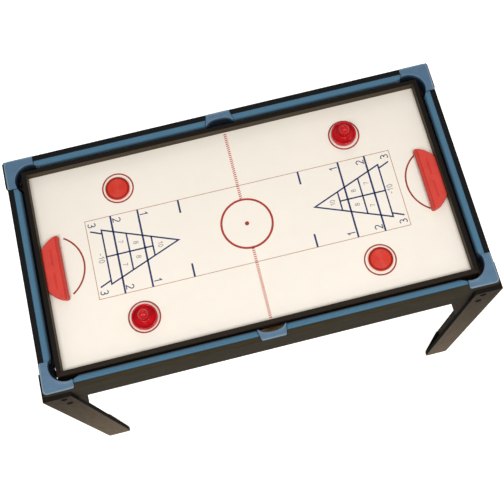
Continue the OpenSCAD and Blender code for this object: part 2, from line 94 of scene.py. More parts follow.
class TableColours(bpy.types.PropertyGroup):
    """Colours of the table's finishes."""

    apron: colour("Apron", "Faces of the apron boards", 54, 48, 36)
    board_edge: colour("Board edge", "Painted edges of the boards", 20, 22, 24)
    leg: colour("Leg", "Faces of the legs and end panels", 61, 52, 41)
    # Painted light on the legs and end panels: their edges are near black, partly paint and partly painted
    # shade, and their tops are painted lighter than the other edges, standing in for light from above.
    leg_edge: colour("Leg edge", "Painted edges of the legs and end panels", 7, 6, 5)
    leg_top: colour("Leg top", "Tops of the legs and end panels", 25, 21, 18)
    # Painted light: the front rail is one brown on every face, while the other rails have darker tops and
    # lighter faces; they are lit and shaded copies of one finish, for how light falls on the near and far
    # sides.
    frame: colour("Frame", "Front rail of the hockey board", 39, 32, 25)
    frame_face: colour("Frame face", "Faces of the other rails", 72, 62, 48)
    frame_top: colour("Frame top", "Tops of the other rails", 25, 22, 18)
    raw: colour("Raw board", "Bare fibreboard and strip wood under the table", 112, 90, 66)
    cushion: colour("Cushion", "Cloth of the cushions", 70, 110, 135)
    # Painted shade: the cushions' noses and backs take this darker colour, for the shade that falls there.
    cushion_nose: colour("Cushion nose", "Soiled cloth at the cushions' noses and backs", 20, 40, 56)
    # The bed cloth is darker than the cushions' cloth: partly its own colour and partly painted shade, for
    # the shade in the gap beside the hockey board.
    bed: colour("Bed", "Cloth of the bed", 25, 44, 66)
    casting: colour("Casting", "Plates of the pocket castings", 78, 109, 136)
    # Painted light on the castings: the wall colour is painted shade down into the pocket, the edge colour a
    # painted highlight on the rounded rims, and the skirt colour a painted shadow under the rims.
    casting_wall: colour("Casting wall", "Walls of the pocket castings", 29, 42, 64)
    casting_edge: colour("Casting edge", "Lit edges of the pocket castings", 128, 147, 160)
    casting_skirt: colour("Casting skirt", "Undersides of the castings' rims", 34, 40, 48)
    basket: colour("Basket", "Baskets of the corner pockets", 70, 60, 46)
    # Painted light: the side baskets are a paler copy of the corner baskets' plastic, lightened against the
    # deep shade in the side pockets.
    side_basket: colour("Side basket", "Baskets of the side pockets", 214, 188, 146)
    block: colour("Block", "Moulded blocks in the feet", 10, 10, 11)
    steel: colour("Steel", "Blackened bolts and screws", 10, 9, 8)
    field: colour("Field", "Lacquered playing panel", 238, 231, 220)
    red_ink: colour("Red ink", "Middle circle", 164, 48, 32)
    bar_ink: colour("Bar ink", "Bars of the middle line", 184, 72, 54)
    ring_ink: colour("Ring ink", "Middle dot, arcs and the rings round the pucks and pushers", 148, 47, 32)
    blue_ink: colour("Blue ink", "Scoring triangles and their numbers", 20, 42, 94)
    thin_ink: colour("Thin ink", "Thin border of the lanes", 172, 124, 102)
    grey_ink: colour("Grey ink", "Pale numbers inside the triangles", 128, 126, 134)
    goal: colour("Goal", "Moulded goals", 206, 65, 55)
    # Painted shade: the goals' rounded front lips take this darker red, for the shade on the lip that falls
    # towards the field.
    goal_lip: colour("Goal lip", "Front lips of the goals", 184, 63, 54)
    puck: colour("Puck", "Moulded pucks", 202, 49, 32)
    # Painted light on the pucks: the rim colour is painted shade in the groove inside the rim, and the wall
    # colour painted light on the wall under the rounded edge.
    puck_rim: colour("Puck rim", "Darkened rims of the pucks", 128, 20, 15)
    puck_wall: colour("Puck wall", "Rubbed walls of the pucks", 232, 78, 58)
    pusher: colour("Pusher", "Moulded pushers", 190, 22, 32)
    floor: colour("Floor", "Studio floor", 246, 245, 243)


class TableSizes(bpy.types.PropertyGroup):
    """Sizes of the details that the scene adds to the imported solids."""

    edge_round: length("Edge rounding", "Rounding of the boards' edges", 0.8)
    casting_round: length("Casting rounding", "Rounding of the castings' rims", 2.2)
    corner_round: length("Corner rounding", "Rounding of the castings' outer corners", 10)
    end_round: length("End rounding", "Rounding of the castings' ends", 3.5)
    pocket_r: length("Pocket radius", "Radius of the pocket holes", 39)
    pocket_in: length("Pocket inset", "Distance from the aprons' faces to the pocket centres", 59.5)
    bolt_in: length("Bolt inset", "Distance from a leg's outer corner to its bolts", 45)
    screw_in: length("Screw inset", "Distance from the aprons' faces to the panel screws", 30)
    print_proud: length("Print thickness", "Height of the print above the panel", 0.05)
    print_shift: length("Print shift", "Distance of the print from the board's middle line", 0.7)
    print_skew: FloatProperty(
        name="Print skew",
        description="Turn of the print on the board",
        default=np.radians(-0.25),
        unit="ROTATION",
    )
    line: length("Line", "Width of the lane lines", 4.5)
    triangle_line: length("Triangle line", "Width of the triangles' lines", 3.7)
    circle_line: length("Circle line", "Width of the middle circle", 5.3)
    ring_line: length("Ring line", "Width of the four rings", 3.7)
    arc_line: length("Arc line", "Width of the arcs round the goals", 4.2)
    thin_line: length("Thin line", "Width of the lane border", 1.6)
    digit: length("Digit", "Height of the lane numbers", 17.5)
    small_digit: length("Small digit", "Height of the pale numbers", 11)
    bar: length("Bar", "Width of the bars of the middle line", 2.5)
    bar_pitch: length("Bar pitch", "Distance between the bars of the middle line", 5.2)


class StageSizes(bpy.types.PropertyGroup):
    """Camera and lights."""

    camera_at: FloatVectorProperty(
        name="Camera",
        description="Place of the camera",
        subtype="XYZ",
        unit="LENGTH",
        default=(-0.06742, -0.68249, 2.79946),
    )
    camera_turn: FloatVectorProperty(
        name="Camera turn",
        description="Turn of the camera about X, Y and Z",
        subtype="EULER",
        unit="ROTATION",
        default=tuple(np.radians((17.1305, 1.4043, -13.9499))),
    )
    lens: amount("Lens", "Focal length in millimetres on a 36 mm sensor", 63.531)
    shift_x: amount("Shift X", "Sideways shift of the picture", -0.02805)
    shift_y: amount("Shift Y", "Upward shift of the picture", -0.00765)
    sky: amount("Sky", "Strength of the even light from all round", 0.35)
    key: amount("Key", "Power of the lamp above the table in watts", 7.0)
    front: amount("Front", "Power of the front lamp in watts", 5.0)
    pair: amount("Pair", "Power of each of the two lamps beside the camera in watts", 16.2)
    back: amount("Back", "Power of the back lamp in watts", 14.0)
    sides: amount("Sides", "Power of each side lamp in watts", 5.0)
    glow: amount("Floor glow", "Light given off by the floor, which softens shadows", 0.8)


def colours():
    """The colours that the sidebar's user has set."""
    return bpy.context.scene.table_colours


def sizes():
    """The sizes that the sidebar's user has set."""
    return bpy.context.scene.table_sizes


# Surfaces


def grid_faces(rows, cols, wrap_rows=False, wrap_cols=False):
    """Four-sided faces of a grid of points, row by row; a wrap joins the last row or column to the first."""
    i, j = np.meshgrid(
        np.arange(rows if wrap_rows else rows - 1), np.arange(cols if wrap_cols else cols - 1), indexing="ij"
    )
    i2, j2 = (i + 1) % rows, (j + 1) % cols
    return np.stack([i * cols + j, i2 * cols + j, i2 * cols + j2, i * cols + j2], -1).reshape(-1, 4)


def surface(points, **wraps):
    """Points on a grid, rows by columns by three, as a part: a list of points and their faces."""
    return points.reshape(-1, 3), grid_faces(*points.shape[:2], **wraps)


def joined(parts):
    """One part from several."""
    start = np.cumsum([0] + [len(p) for p, _ in parts[:-1]])
    return np.concatenate([p for p, _ in parts]), np.concatenate([f + s for (_, f), s in zip(parts, start)])


def moved(part, *by):
    """A part shifted by x, y and z."""
    return part[0] + np.array(by), part[1]


def flipped(part):
    """A part whose faces look the other way."""
    return part[0], part[1][:, ::-1]


def mirrored(part, sx, sy):
    """A part seen in the mirrors x = 0 and y = 0 where sx and sy are -1; its faces keep pointing outwards."""
    turned = part[0] * np.array([sx, sy, 1.0]), part[1]
    return turned if sx * sy > 0 else flipped(turned)


def raised(plan, height):
    """Points of a plan, (x, y), at one height."""
    return np.column_stack([plan, np.full(len(plan), height)])


def arc(cx, cz, radius, start, stop, steps):
    """Points on a circle about (cx, cz), from one angle to another in degrees."""
    a = np.radians(np.linspace(start, stop, steps))
    return np.stack([cx + radius * np.cos(a), cz + radius * np.sin(a)], -1)


def ramp(at, start, stop):
    """A straight rise from 0 at start to 1 at stop, level on both sides of them."""
    return np.clip((at - start) / (stop - start), 0, 1)


def bell(at, middle, width, power=2):
    """A bump of height 1: e to the minus p, where p is ((at - middle) / width) to the power."""
    return np.exp(-(((at - middle) / width) ** power))


def eased(path, radius, steps=7):
    """A path with its bends replaced by parabolas that start and end the given distance from each bend."""
    path = np.asarray(path, float)
    t = np.linspace(0, 1, steps)[:, None]
    out = [path[:1]]
    for before, bend, after, r in zip(path, path[1:], path[2:], np.broadcast_to(radius, len(path) - 2)):
        start = bend + (before - bend) * r / np.linalg.norm(before - bend)
        stop = bend + (after - bend) * r / np.linalg.norm(after - bend)
        out.append((1 - t) ** 2 * start + 2 * t * (1 - t) * bend + t**2 * stop)
    return np.concatenate(out + [path[-1:]])


def run_along(path):
    """Length of a path up to each of its points."""
    return np.concatenate([[0], np.cumsum(np.linalg.norm(np.diff(path, axis=0), axis=1))])


def even(path, count):
    """A path resampled to equal steps along its length."""
    run = run_along(path)
    at = np.linspace(0, run[-1], count)
    return np.stack([np.interp(at, run, path[:, k]) for k in range(2)], -1)


def lathe(profile, centre, turns=96):
    """A profile of (radius, height) turned about an upright axis, bottom first: x = r cos a, y = r sin a."""
    a = np.linspace(0, 2 * np.pi, turns, endpoint=False)[:, None]
    r, z = np.asarray(profile).T
    points = np.stack([r * np.cos(a), r * np.sin(a), np.broadcast_to(z, (turns, len(z)))], -1)
    return surface(points + np.asarray(centre), wrap_rows=True)


def ribbon(path, width, low, high, closed=False):
    """A flat strip: a thin rectangle carried along a path of (x, y), mitred at its bends."""
    path = np.asarray(path, float)
    step = np.diff(np.concatenate([path, path[:1]]) if closed else path, axis=0)
    step /= np.linalg.norm(step, axis=1)[:, None]
    normal = np.stack([-step[:, 1], step[:, 0]], -1)
    before = np.roll(normal, 1, 0) if closed else np.concatenate([normal[:1], normal])
    after = normal if closed else np.concatenate([normal, normal[-1:]])
    mitre = (before + after) / (1 + np.sum(before * after, axis=1))[:, None]
    left, right = path + mitre * width / 2, path - mitre * width / 2
    corners = [raised(left, low), raised(left, high), raised(right, high), raised(right, low)]
    points, faces = surface(np.stack(corners, 1), wrap_rows=closed, wrap_cols=True)
    if not closed:
        ends = np.array([[0, 1, 2, 3], [4 * len(path) - 1 - k for k in range(4)]])
        faces = np.concatenate([faces, ends])
    return flipped((points, faces))


def piece(name, part, finish, body, stands_for=(), smooth=35, measures=None):
    """Makes a piece of a part, merges its doubles and hangs it on a body.

    Edges are sharp past smooth degrees. The measures, three for each point, are for the finish to follow.
    """
    points, faces = part
    _, first, index = np.unique(np.round(points, 7), axis=0, return_index=True, return_inverse=True)
    faces = [list(dict.fromkeys(f)) for f in index.reshape(-1)[faces].tolist()]
    mesh = bpy.data.meshes.new(name)
    mesh.from_pydata(points[first].tolist(), [], [f for f in faces if len(f) > 2])
    if measures is not None:
        follow = mesh.attributes.new("follow", "FLOAT_VECTOR", "POINT")
        follow.data.foreach_set("vector", measures[first].astype(np.float32).ravel())
    mesh.validate()
    mesh.shade_smooth()
    mesh.set_sharp_from_angle(angle=np.radians(smooth))
    mesh.materials.append(finish)
    made = bpy.data.objects.new(name, mesh)
    bpy.context.scene.collection.objects.link(made)
    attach(made, body)
    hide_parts(*stands_for)
    return made


def dress(name, finish, rounding=0.0):
    """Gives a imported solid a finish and, where asked, rounded edges."""
    solid = frame["nodes"][name]
    solid.data.materials.clear()
    solid.data.materials.append(finish)
    if rounding:
        solid.modifiers.new("weld", "WELD").merge_threshold = 0.01 * MM
        bevel = solid.modifiers.new("round", "BEVEL")
        bevel.width, bevel.segments = rounding, 2
        bevel.limit_method, bevel.angle_limit = "ANGLE", np.radians(40)


def centre_of(name):
    """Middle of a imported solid's box."""
    low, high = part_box(name)
    return (low + high) / 2


# Nodes and shared effects


def node(tree, kind, inputs=None, **settings):
    """Adds a node, sets it up and fills its inputs with values or links."""
    made = tree.nodes.new(kind)
    for key, value in settings.items():
        setattr(made, key, value)
    fill_in(tree, made, inputs or {})
    return made


def fill_in(tree, made, inputs):
    """Fills a node's inputs with values or links."""
    for key, value in inputs.items():
        if isinstance(value, bpy.types.NodeSocket):
            tree.links.new(value, made.inputs[key])
        else:
            made.inputs[key].default_value = value


def maths(tree, operation, *values):
    """One operation on plain numbers."""
    return node(tree, "ShaderNodeMath", dict(enumerate(values)), operation=operation).outputs[0]


def vectors(tree, operation, *values):
    """One operation on vectors: its outputs, a vector and a plain number."""
    return node(tree, "ShaderNodeVectorMath", dict(enumerate(values)), operation=operation).outputs


def axis_of(tree, vector, axis):
    """One of a vector's three numbers."""
    return node(tree, "ShaderNodeSeparateXYZ", {0: vector}).outputs[axis]


def blend(tree, factor, first, second):
    """Colour that goes from first to second."""
    return node(tree, "ShaderNodeMix", {0: factor, 6: first, 7: second}, data_type="RGBA").outputs[2]


def spread(tree, value, low, high, to_low=0.0, to_high=1.0):
    """Carries the range low to high over to another, without going past its ends."""
    inputs = {"Value": value, "From Min": low, "From Max": high, "To Min": to_low, "To Max": to_high}
    return node(tree, "ShaderNodeMapRange", inputs).outputs[0]


def noise(tree, vector, scale, detail, roughness=0.55, distortion=0.0):
    """Cloudy noise of the given fineness."""
    inputs = {"Vector": vector, "Scale": scale, "Detail": detail}
    inputs |= {"Roughness": roughness, "Distortion": distortion}
    return node(tree, "ShaderNodeTexNoise", inputs).outputs[0]


def group(name, measure, outputs, fill):
    """A shader node group, built once, whose inputs are a place and one measure.

    The function fill takes the tree and the input sockets and returns the outputs.
    """
    tree = bpy.data.node_groups.get(name)
    if tree:
        return tree
    tree = bpy.data.node_groups.new(name, "ShaderNodeTree")
    for key, kind in (("Vector", "NodeSocketVector"), (measure, "NodeSocketFloat")):
        tree.interface.new_socket(key, in_out="INPUT", socket_type=kind)
    for key in outputs:
        tree.interface.new_socket(key, in_out="OUTPUT", socket_type="NodeSocketFloat")
    come, go = tree.nodes.new("NodeGroupInput"), tree.nodes.new("NodeGroupOutput")
    for key, socket in zip(outputs, fill(tree, come.outputs)):
        tree.links.new(socket, go.inputs[key])
    return tree


def board_grain():
    """Wood grain along X: long streaks from stretched noise, and short dark pores from finer noise."""
    streak_stretch, pore_stretch, pore_finer = (0.05, 1, 1), (0.09, 1, 1), 6.0

    def fill(tree, ins):
        long_way, pore_way = (
            vectors(tree, "MULTIPLY", ins["Vector"], stretch)[0] for stretch in (streak_stretch, pore_stretch)
        )
        streaks = noise(tree, long_way, ins["Scale"], 6.0, 0.62, 0.7)
        fine = noise(tree, pore_way, maths(tree, "MULTIPLY", ins["Scale"], pore_finer), 2.0)
        return spread(tree, streaks, 0.3, 0.7), spread(tree, fine, 0.56, 0.72)

    return group("board_grain", "Scale", ("Streaks", "Pores"), fill)


def mottle():
    """Slow changes of shade from two noises of different size."""
    finer, slow_share, quick_share = 9.0, 0.65, 0.35

    def fill(tree, ins):
        slow = noise(tree, ins["Vector"], ins["Scale"], 2.0)
        quick = noise(tree, ins["Vector"], maths(tree, "MULTIPLY", ins["Scale"], finer), 3.0)
        both = maths(tree, "MULTIPLY_ADD", slow, slow_share, maths(tree, "MULTIPLY", quick, quick_share))
        return (spread(tree, both, 0.32, 0.68),)

    return group("mottle", "Scale", ("Mask",), fill)


def moulding():
    """Fine grain of a mould: small rounded cells and dust-sized noise."""
    coarser, cell_share = 0.35, 0.5

    def fill(tree, ins):
        inputs = {"Vector": ins["Vector"], "Scale": ins["Scale"]}
        cells = node(tree, "ShaderNodeTexVoronoi", inputs).outputs[0]
        dust = noise(tree, ins["Vector"], maths(tree, "MULTIPLY", ins["Scale"], coarser), 4.0)
        return maths(tree, "MULTIPLY_ADD", cells, cell_share, dust), spread(tree, dust, 0.35, 0.65)

    return group("moulding", "Scale", ("Height", "Mask"), fill)


def weave():
    """Plain weave: two crossed sets of threads, sin x sin y at the thread pitch, with uneven yarn."""
    thread_share, yarn_size = 0.5, 0.3

    def fill(tree, ins):
        turns = maths(tree, "DIVIDE", 2 * np.pi, ins["Pitch"])
        warp, weft = (
            maths(tree, "SINE", maths(tree, "MULTIPLY", axis_of(tree, ins["Vector"], k), turns))
            for k in (0, 1)
        )
        over = maths(tree, "MULTIPLY", warp, weft)
        yarn = noise(tree, ins["Vector"], maths(tree, "DIVIDE", yarn_size, ins["Pitch"]), 4.0)
        return maths(tree, "MULTIPLY_ADD", over, thread_share, yarn), spread(tree, yarn, 0.3, 0.7)

    return group("weave", "Pitch", ("Height", "Yarn"), fill)


def use(tree, effect, **inputs):
    """Places a shared effect in a material."""
    inputs = {key.title(): value for key, value in inputs.items()}
    return node(tree, "ShaderNodeGroup", inputs, node_tree=effect()).outputs


# Finishes

ALONG = {"x": (0, 0, 0), "y": (0, 0, QUARTER), "z": (0, QUARTER, 0)}
UP = (0, 0, 1)


def material(name):
    """A new material, its tree and its Principled shader."""
    made = bpy.data.materials.new(name)
    made.use_nodes = True
    return made, made.node_tree, made.node_tree.nodes["Principled BSDF"]


def finish_with(tree, shader, base, roughness, height=None, strength=0.0, depth=0.0, **others):
    """Gives the shader a colour, a roughness, a bump of some strength and depth, and other plain values."""
    fill_in(tree, shader, {"Base Color": base, "Roughness": roughness})
    if height is not None:
        inputs = {"Height": height, "Strength": strength, "Distance": depth}
        fill_in(tree, shader, {"Normal": node(tree, "ShaderNodeBump", inputs).outputs[0]})
    sockets = {
        "gloss": "Specular IOR Level",
        "shine": "Specular Tint",
        "coat": "Coat Weight",
        "coat_roughness": "Coat Roughness",
        "sheen": "Sheen Weight",
        "sheen_roughness": "Sheen Roughness",
        "glow": "Emission Strength",
    }
    fill_in(tree, shader, {sockets[key]: value for key, value in others.items()})


def shade(base, factor=1.0):
    """A colour made lighter or darker, as four numbers."""
    return (*(min(1.0, c * factor) for c in base), 1.0)


def place(tree, turn=(0, 0, 0)):
    """Object coordinates, turned."""
    at = node(tree, "ShaderNodeTexCoord").outputs["Object"]
    return node(tree, "ShaderNodeMapping", {"Vector": at, "Rotation": turn}).outputs[0]


def own_measures(tree):
    """The measures that a piece carries on its points."""
    return node(tree, "ShaderNodeAttribute", attribute_name="follow").outputs["Vector"]


def facing(tree, way):
    """How far a face looks along a way: the dot product of that way and the face's normal."""
    looks = node(tree, "ShaderNodeNewGeometry").outputs["True Normal"]
    return vectors(tree, "DOT_PRODUCT", looks, way)["Value"]


def board_finish(
    name, face, along, flat=None, edge=None, crown=None, foot=1.0, scale=260.0, contrast=0.28, roughness=0.7
):
    """Grained laminate on a board whose grain runs along one axis.

    Faces that don't look along flat are painted with the edge colour, or with crown where they look up;
    crown is painted light, a top lighter than the other edges, standing in for light from above.
    A foot other than 1 is for legs and paints light and shade into them: their outer faces are foot times
    as light at the floor as at the top, standing in for the shade under the table top and the light from the
    floor, and the faces that look under the table are painted darker, as the shade there.
    """
    pore_cover, pore_shade, patch_cover, patch_shade = 0.45, 0.45, 0.25, 1.25
    leg_height, under_shade = 0.8, 0.6
    made, tree, shader = material(name)
    at = place(tree, ALONG[along])
    streaks, pores = use(tree, board_grain, vector=at, scale=scale)
    patches = use(tree, mottle, vector=at, scale=9.0)[0]
    base = blend(tree, streaks, shade(face, 1 - contrast), shade(face, 1 + contrast))
    base = blend(tree, maths(tree, "MULTIPLY", pores, pore_cover), base, shade(face, pore_shade))
    base = blend(tree, maths(tree, "MULTIPLY", patches, patch_cover), base, shade(face, patch_shade))
    # Painted light and shade on the legs: lighter towards the floor, and darker on faces that look under the
    # table.
    if foot != 1.0:
        light = spread(tree, axis_of(tree, place(tree), 2), 0.0, leg_height, foot, 1.0)
        outer = spread(tree, facing(tree, place(tree)), -0.02, 0.02)
        gain = maths(tree, "SUBTRACT", light, under_shade)
        light = maths(tree, "MULTIPLY_ADD", outer, gain, under_shade)
        base = node(tree, "ShaderNodeVectorMath", {0: base, "Scale": light}, operation="SCALE").outputs[0]
    if flat:
        painted = spread(tree, maths(tree, "ABSOLUTE", facing(tree, flat)), 0.55, 0.8, 1.0, 0.0)
        paint = shade(edge or colours().board_edge)
        # Painted light: faces that look up take the lighter crown colour, for light from above.
        if crown:
            paint = blend(tree, spread(tree, facing(tree, UP), 0.55, 0.8), paint, shade(crown))
        base = blend(tree, painted, base, paint)
    rough = spread(tree, streaks, 0, 1, roughness + 0.08, roughness - 0.06)
    relief = maths(tree, "SUBTRACT", maths(tree, "MULTIPLY", streaks, 0.5), pores)
    finish_with(tree, shader, base, rough, relief, 0.25, 0.12 * MM, gloss=0.08)
    return made


def plastic_finish(
    name, base, roughness, grain, bump=0.12, *, gloss, contrast=0.07, lobe=40.0, deep=None, marks=(), **others
):
    """Moulded plastic: nearly even colour, slow changes of shade and the fine grain of its mould.

    Where deep gives two heights and a colour, the plastic takes on that colour from the upper one down:
    painted shade, darker down into a hole.
    Each mark is one of the piece's own measures, two values of it, and the colour taken on between them;
    the marks in this script are painted light and painted shade.
    """
    made, tree, shader = material(name)
    at = place(tree)
    height, dust = use(tree, moulding, vector=at, scale=grain)
    patches = use(tree, mottle, vector=at, scale=lobe)[0]
    tint = blend(tree, patches, shade(base, 1 - contrast), shade(base, 1 + contrast))
    if deep:
        upper, lower, dark = deep
        tint = blend(tree, spread(tree, axis_of(tree, at, 2), lower, upper, 1.0, 0.0), tint, shade(dark))
    for axis, start, stop, dye in marks:
        measure = axis_of(tree, own_measures(tree), axis)
        tint = blend(tree, spread(tree, measure, start, stop), tint, shade(dye))
    rough = spread(tree, dust, 0, 1, roughness - 0.05, roughness + 0.07)
    finish_with(tree, shader, tint, rough, height, bump, 0.06 * MM, gloss=gloss, **others)
    return made


def cloth_finish(name, base, pitch, painted_shade=None):
    """Woven cloth that follows the surface, with uneven yarn and a soft sheen.

    Where a shade colour is given, the cloth takes it on as far as the piece's third measure says, from 0 to
    1:
    this is painted shade, for the shade at the cushions' noses and backs.
    """
    contrast, patch_cover, patch_shade = 0.16, 0.3, 1.2
    made, tree, shader = material(name)
    follow = own_measures(tree)
    height, yarn = use(tree, weave, vector=follow, pitch=pitch)
    patches = use(tree, mottle, vector=place(tree), scale=14.0)[0]
    tint = blend(tree, yarn, shade(base, 1 - contrast), shade(base, 1 + contrast))
    tint = blend(tree, maths(tree, "MULTIPLY", patches, patch_cover), tint, shade(base, patch_shade))
    if painted_shade:
        tint = blend(tree, axis_of(tree, follow, 2), tint, shade(painted_shade))
    rough = spread(tree, yarn, 0, 1, 0.8, 0.95)
    nap = {"sheen": 0.25, "sheen_roughness": 0.4, "gloss": 0.25}
    finish_with(tree, shader, tint, rough, height, 0.5, 0.15 * MM, **nap)
    return made


def field_finish(name, base):
    """Lacquered cream panel: faint clouding, paper-fine specks and a satin coat."""
    made, tree, shader = material(name)
    at = place(tree)
    clouds = use(tree, mottle, vector=at, scale=4.0)[0]
    specks = noise(tree, at, 900.0, 2.0)
    tint = blend(tree, clouds, shade(base, 0.975), shade(base, 1.02))
    tint = blend(tree, spread(tree, specks, 0.62, 0.75, 0.0, 0.05), tint, shade(base, 0.7))
    rough = spread(tree, specks, 0.3, 0.7, 0.36, 0.46)
    finish_with(tree, shader, tint, rough, specks, 0.05, 0.05 * MM, coat=0.15, coat_roughness=0.3)
    return made


def ink_finish(name, base):
    """Screen-printed ink: slightly uneven cover."""
    made, tree, shader = material(name)
    at = place(tree)
    cover = use(tree, mottle, vector=at, scale=120.0)[0]
    grainy = noise(tree, at, 1500.0, 2.0)
    tint = blend(tree, cover, shade(base, 0.9), shade(base, 1.14))
    rough = spread(tree, grainy, 0.3, 0.7, 0.4, 0.55)
    finish_with(tree, shader, tint, rough, grainy, 0.1, 0.03 * MM)
    return made


def steel_finish(name, base):
    """Darkened steel with fine turning marks and worn patches."""
    made, tree, shader = material(name)
    at = place(tree)
    worn = use(tree, mottle, vector=at, scale=300.0)[0]
    marks = noise(tree, at, 2500.0, 2.0)
    tint = blend(tree, worn, shade(base, 0.8), shade(base, 1.4))
    rough = spread(tree, marks, 0.3, 0.7, 0.3, 0.5)
    finish_with(tree, shader, tint, rough, marks, 0.15, 0.03 * MM, gloss=0.12)
    return made


# Operators


class GAMES_TABLE_OT_stage(bpy.types.Operator):
    """Sets up the camera, a pale floor and soft light"""

    bl_idname = "games_table.stage"
    bl_label = "Stage"
    bl_options = {"REGISTER", "UNDO"}

    def add(self, name, data):
        """Links new data to the scene as an object."""
        made = bpy.data.objects.new(name, data)
        bpy.context.scene.collection.objects.link(made)
        return made

    def softbox(self, name, at, power, wide, deep):
        """A large lamp that looks at the table's middle."""
        aim, warm_white = Vector((0, 0, 0.7)), (1.0, 0.985, 0.96)
        lamp = bpy.data.lights.new(name, "AREA")
        lamp.shape, lamp.size, lamp.size_y = "RECTANGLE", wide, deep
        lamp.energy, lamp.color = power, warm_white
        box = self.add(name, lamp)
        box.location = at
        box.rotation_euler = (aim - box.location).to_track_quat("-Z", "Y").to_euler()

    def execute(self, context):
        scene = context.scene
        stage = scene.stage_sizes
        scene.view_settings.view_transform = "Standard"
        lens = bpy.data.cameras.new("camera")
        lens.lens, lens.sensor_width, lens.clip_end = stage.lens, 36, 50
        lens.shift_x, lens.shift_y = stage.shift_x, stage.shift_y
        scene.camera = self.add("camera", lens)
        scene.camera.location, scene.camera.rotation_euler = stage.camera_at, stage.camera_turn

        made, tree, shader = material("floor")
        cloud = use(tree, mottle, vector=place(tree), scale=3.0)[0]
        base = scene.table_colours.floor
        pale = blend(tree, cloud, shade(base, 0.985), shade(base))
        finish_with(tree, shader, pale, 0.85, glow=stage.glow)
        fill_in(tree, shader, {"Emission Color": pale})
        mesh = bpy.data.meshes.new("floor")
        reach, low = 9.0, -0.5 * MM
        corners = np.array([(-1, -1), (1, -1), (1, 1), (-1, 1)]) * reach
        mesh.from_pydata(raised(corners, low).tolist(), [], [(0, 1, 2, 3)])
        mesh.materials.append(made)
        floor = self.add("floor", mesh)
        floor.visible_glossy = False

        scene.world = bpy.data.worlds.new("studio")
        scene.world.use_nodes = True
        tree = scene.world.node_tree
        fill_in(tree, tree.nodes["Background"], {"Color": (1.0, 0.99, 0.975, 1), "Strength": stage.sky})
        lamps = {
            "key_box": ((-0.05, -0.35, 3.05), stage.key, 2.3, 0.8),
            "pair_left": ((-0.99, -0.9, 2.6), stage.pair, 0.7, 0.7),
            "pair_right": ((0.85, -0.9, 2.6), stage.pair, 0.7, 0.7),
            "front_box": ((-0.2, -2.3, 2.6), stage.front, 1.6, 1.6),
            "back_box": ((0.2, 2.7, 2.1), stage.back, 1.6, 1.6),
            "left_box": ((-2.6, -0.3, 2.3), stage.sides, 1.6, 1.6),
            "right_box": ((2.6, -0.1, 2.3), stage.sides, 1.6, 1.6),
        }
        for name, lamp in lamps.items():
            self.softbox(name, *lamp)
        return {"FINISHED"}


class GAMES_TABLE_OT_boards(bpy.types.Operator):
    """Finishes the aprons, legs, end panels, frame and bare wood, with rounded edges"""

    bl_idname = "games_table.boards"
    bl_label = "Boards"
    bl_options = {"REGISTER", "UNDO"}

    def execute(self, context):
        tint, rounding = colours(), sizes().edge_round
        across, lengthwise = (1, 0, 0), (0, 1, 0)
        # Painted light: the front apron and front rail are one brown on every face, while the other aprons'
        # and rails' tops are painted darker and the other rails' faces lighter: lit and shaded copies of one
        # finish.
        boards = {
            "front": ("x", None),
            "back": ("x", lengthwise),
            "left": ("y", across),
            "right": ("y", across),
        }
        smoother = {"scale": 420.0, "contrast": 0.2, "roughness": 0.55}
        for side, (way, flat) in boards.items():
            name = "apron_" + side
            dress(name, board_finish(name, tint.apron, way, flat), rounding)
            name, face = "frame_rail_" + side, tint.frame_face if flat else tint.frame
            dress(name, board_finish(name, face, way, flat, tint.frame_top, **smoother), rounding)

        # Legs get painted light: lighter towards the floor by this factor, standing in for the shade under
        # the table top and the light from the floor.
        painted_foot_light = 3.17
        leg = {
            kind: board_finish("leg_" + kind, tint.leg, "z", flat, tint.leg_edge, tint.leg_top, painted_foot_light)
            for kind, flat in (("side", lengthwise), ("end", across))
        }
        block = plastic_finish("block_plastic", tint.block, 0.6, 1000.0, gloss=0.1)
        for sx, sy in CORNERS:
            corner = f"{SIDE[sy]}_{END[sx]}"
            dress("foot_block_" + corner, block, rounding)
            for kind, finish in leg.items():
                dress(f"leg_{corner}_{kind}", finish, rounding)
        panel = board_finish("end_panel", tint.leg, "y", across, tint.leg_edge, tint.leg_top)
        for end in END.values():
            dress("end_panel_" + end, panel, rounding)

        bare = {way: board_finish("bare_" + way, tint.raw, way, scale=180.0, contrast=0.12) for way in "xy"}
        dress("bed_board", bare["x"])
        dress("bed_cleats", bare["x"], rounding)
        dress("field_battens", bare["y"], rounding)
        return {"FINISHED"}


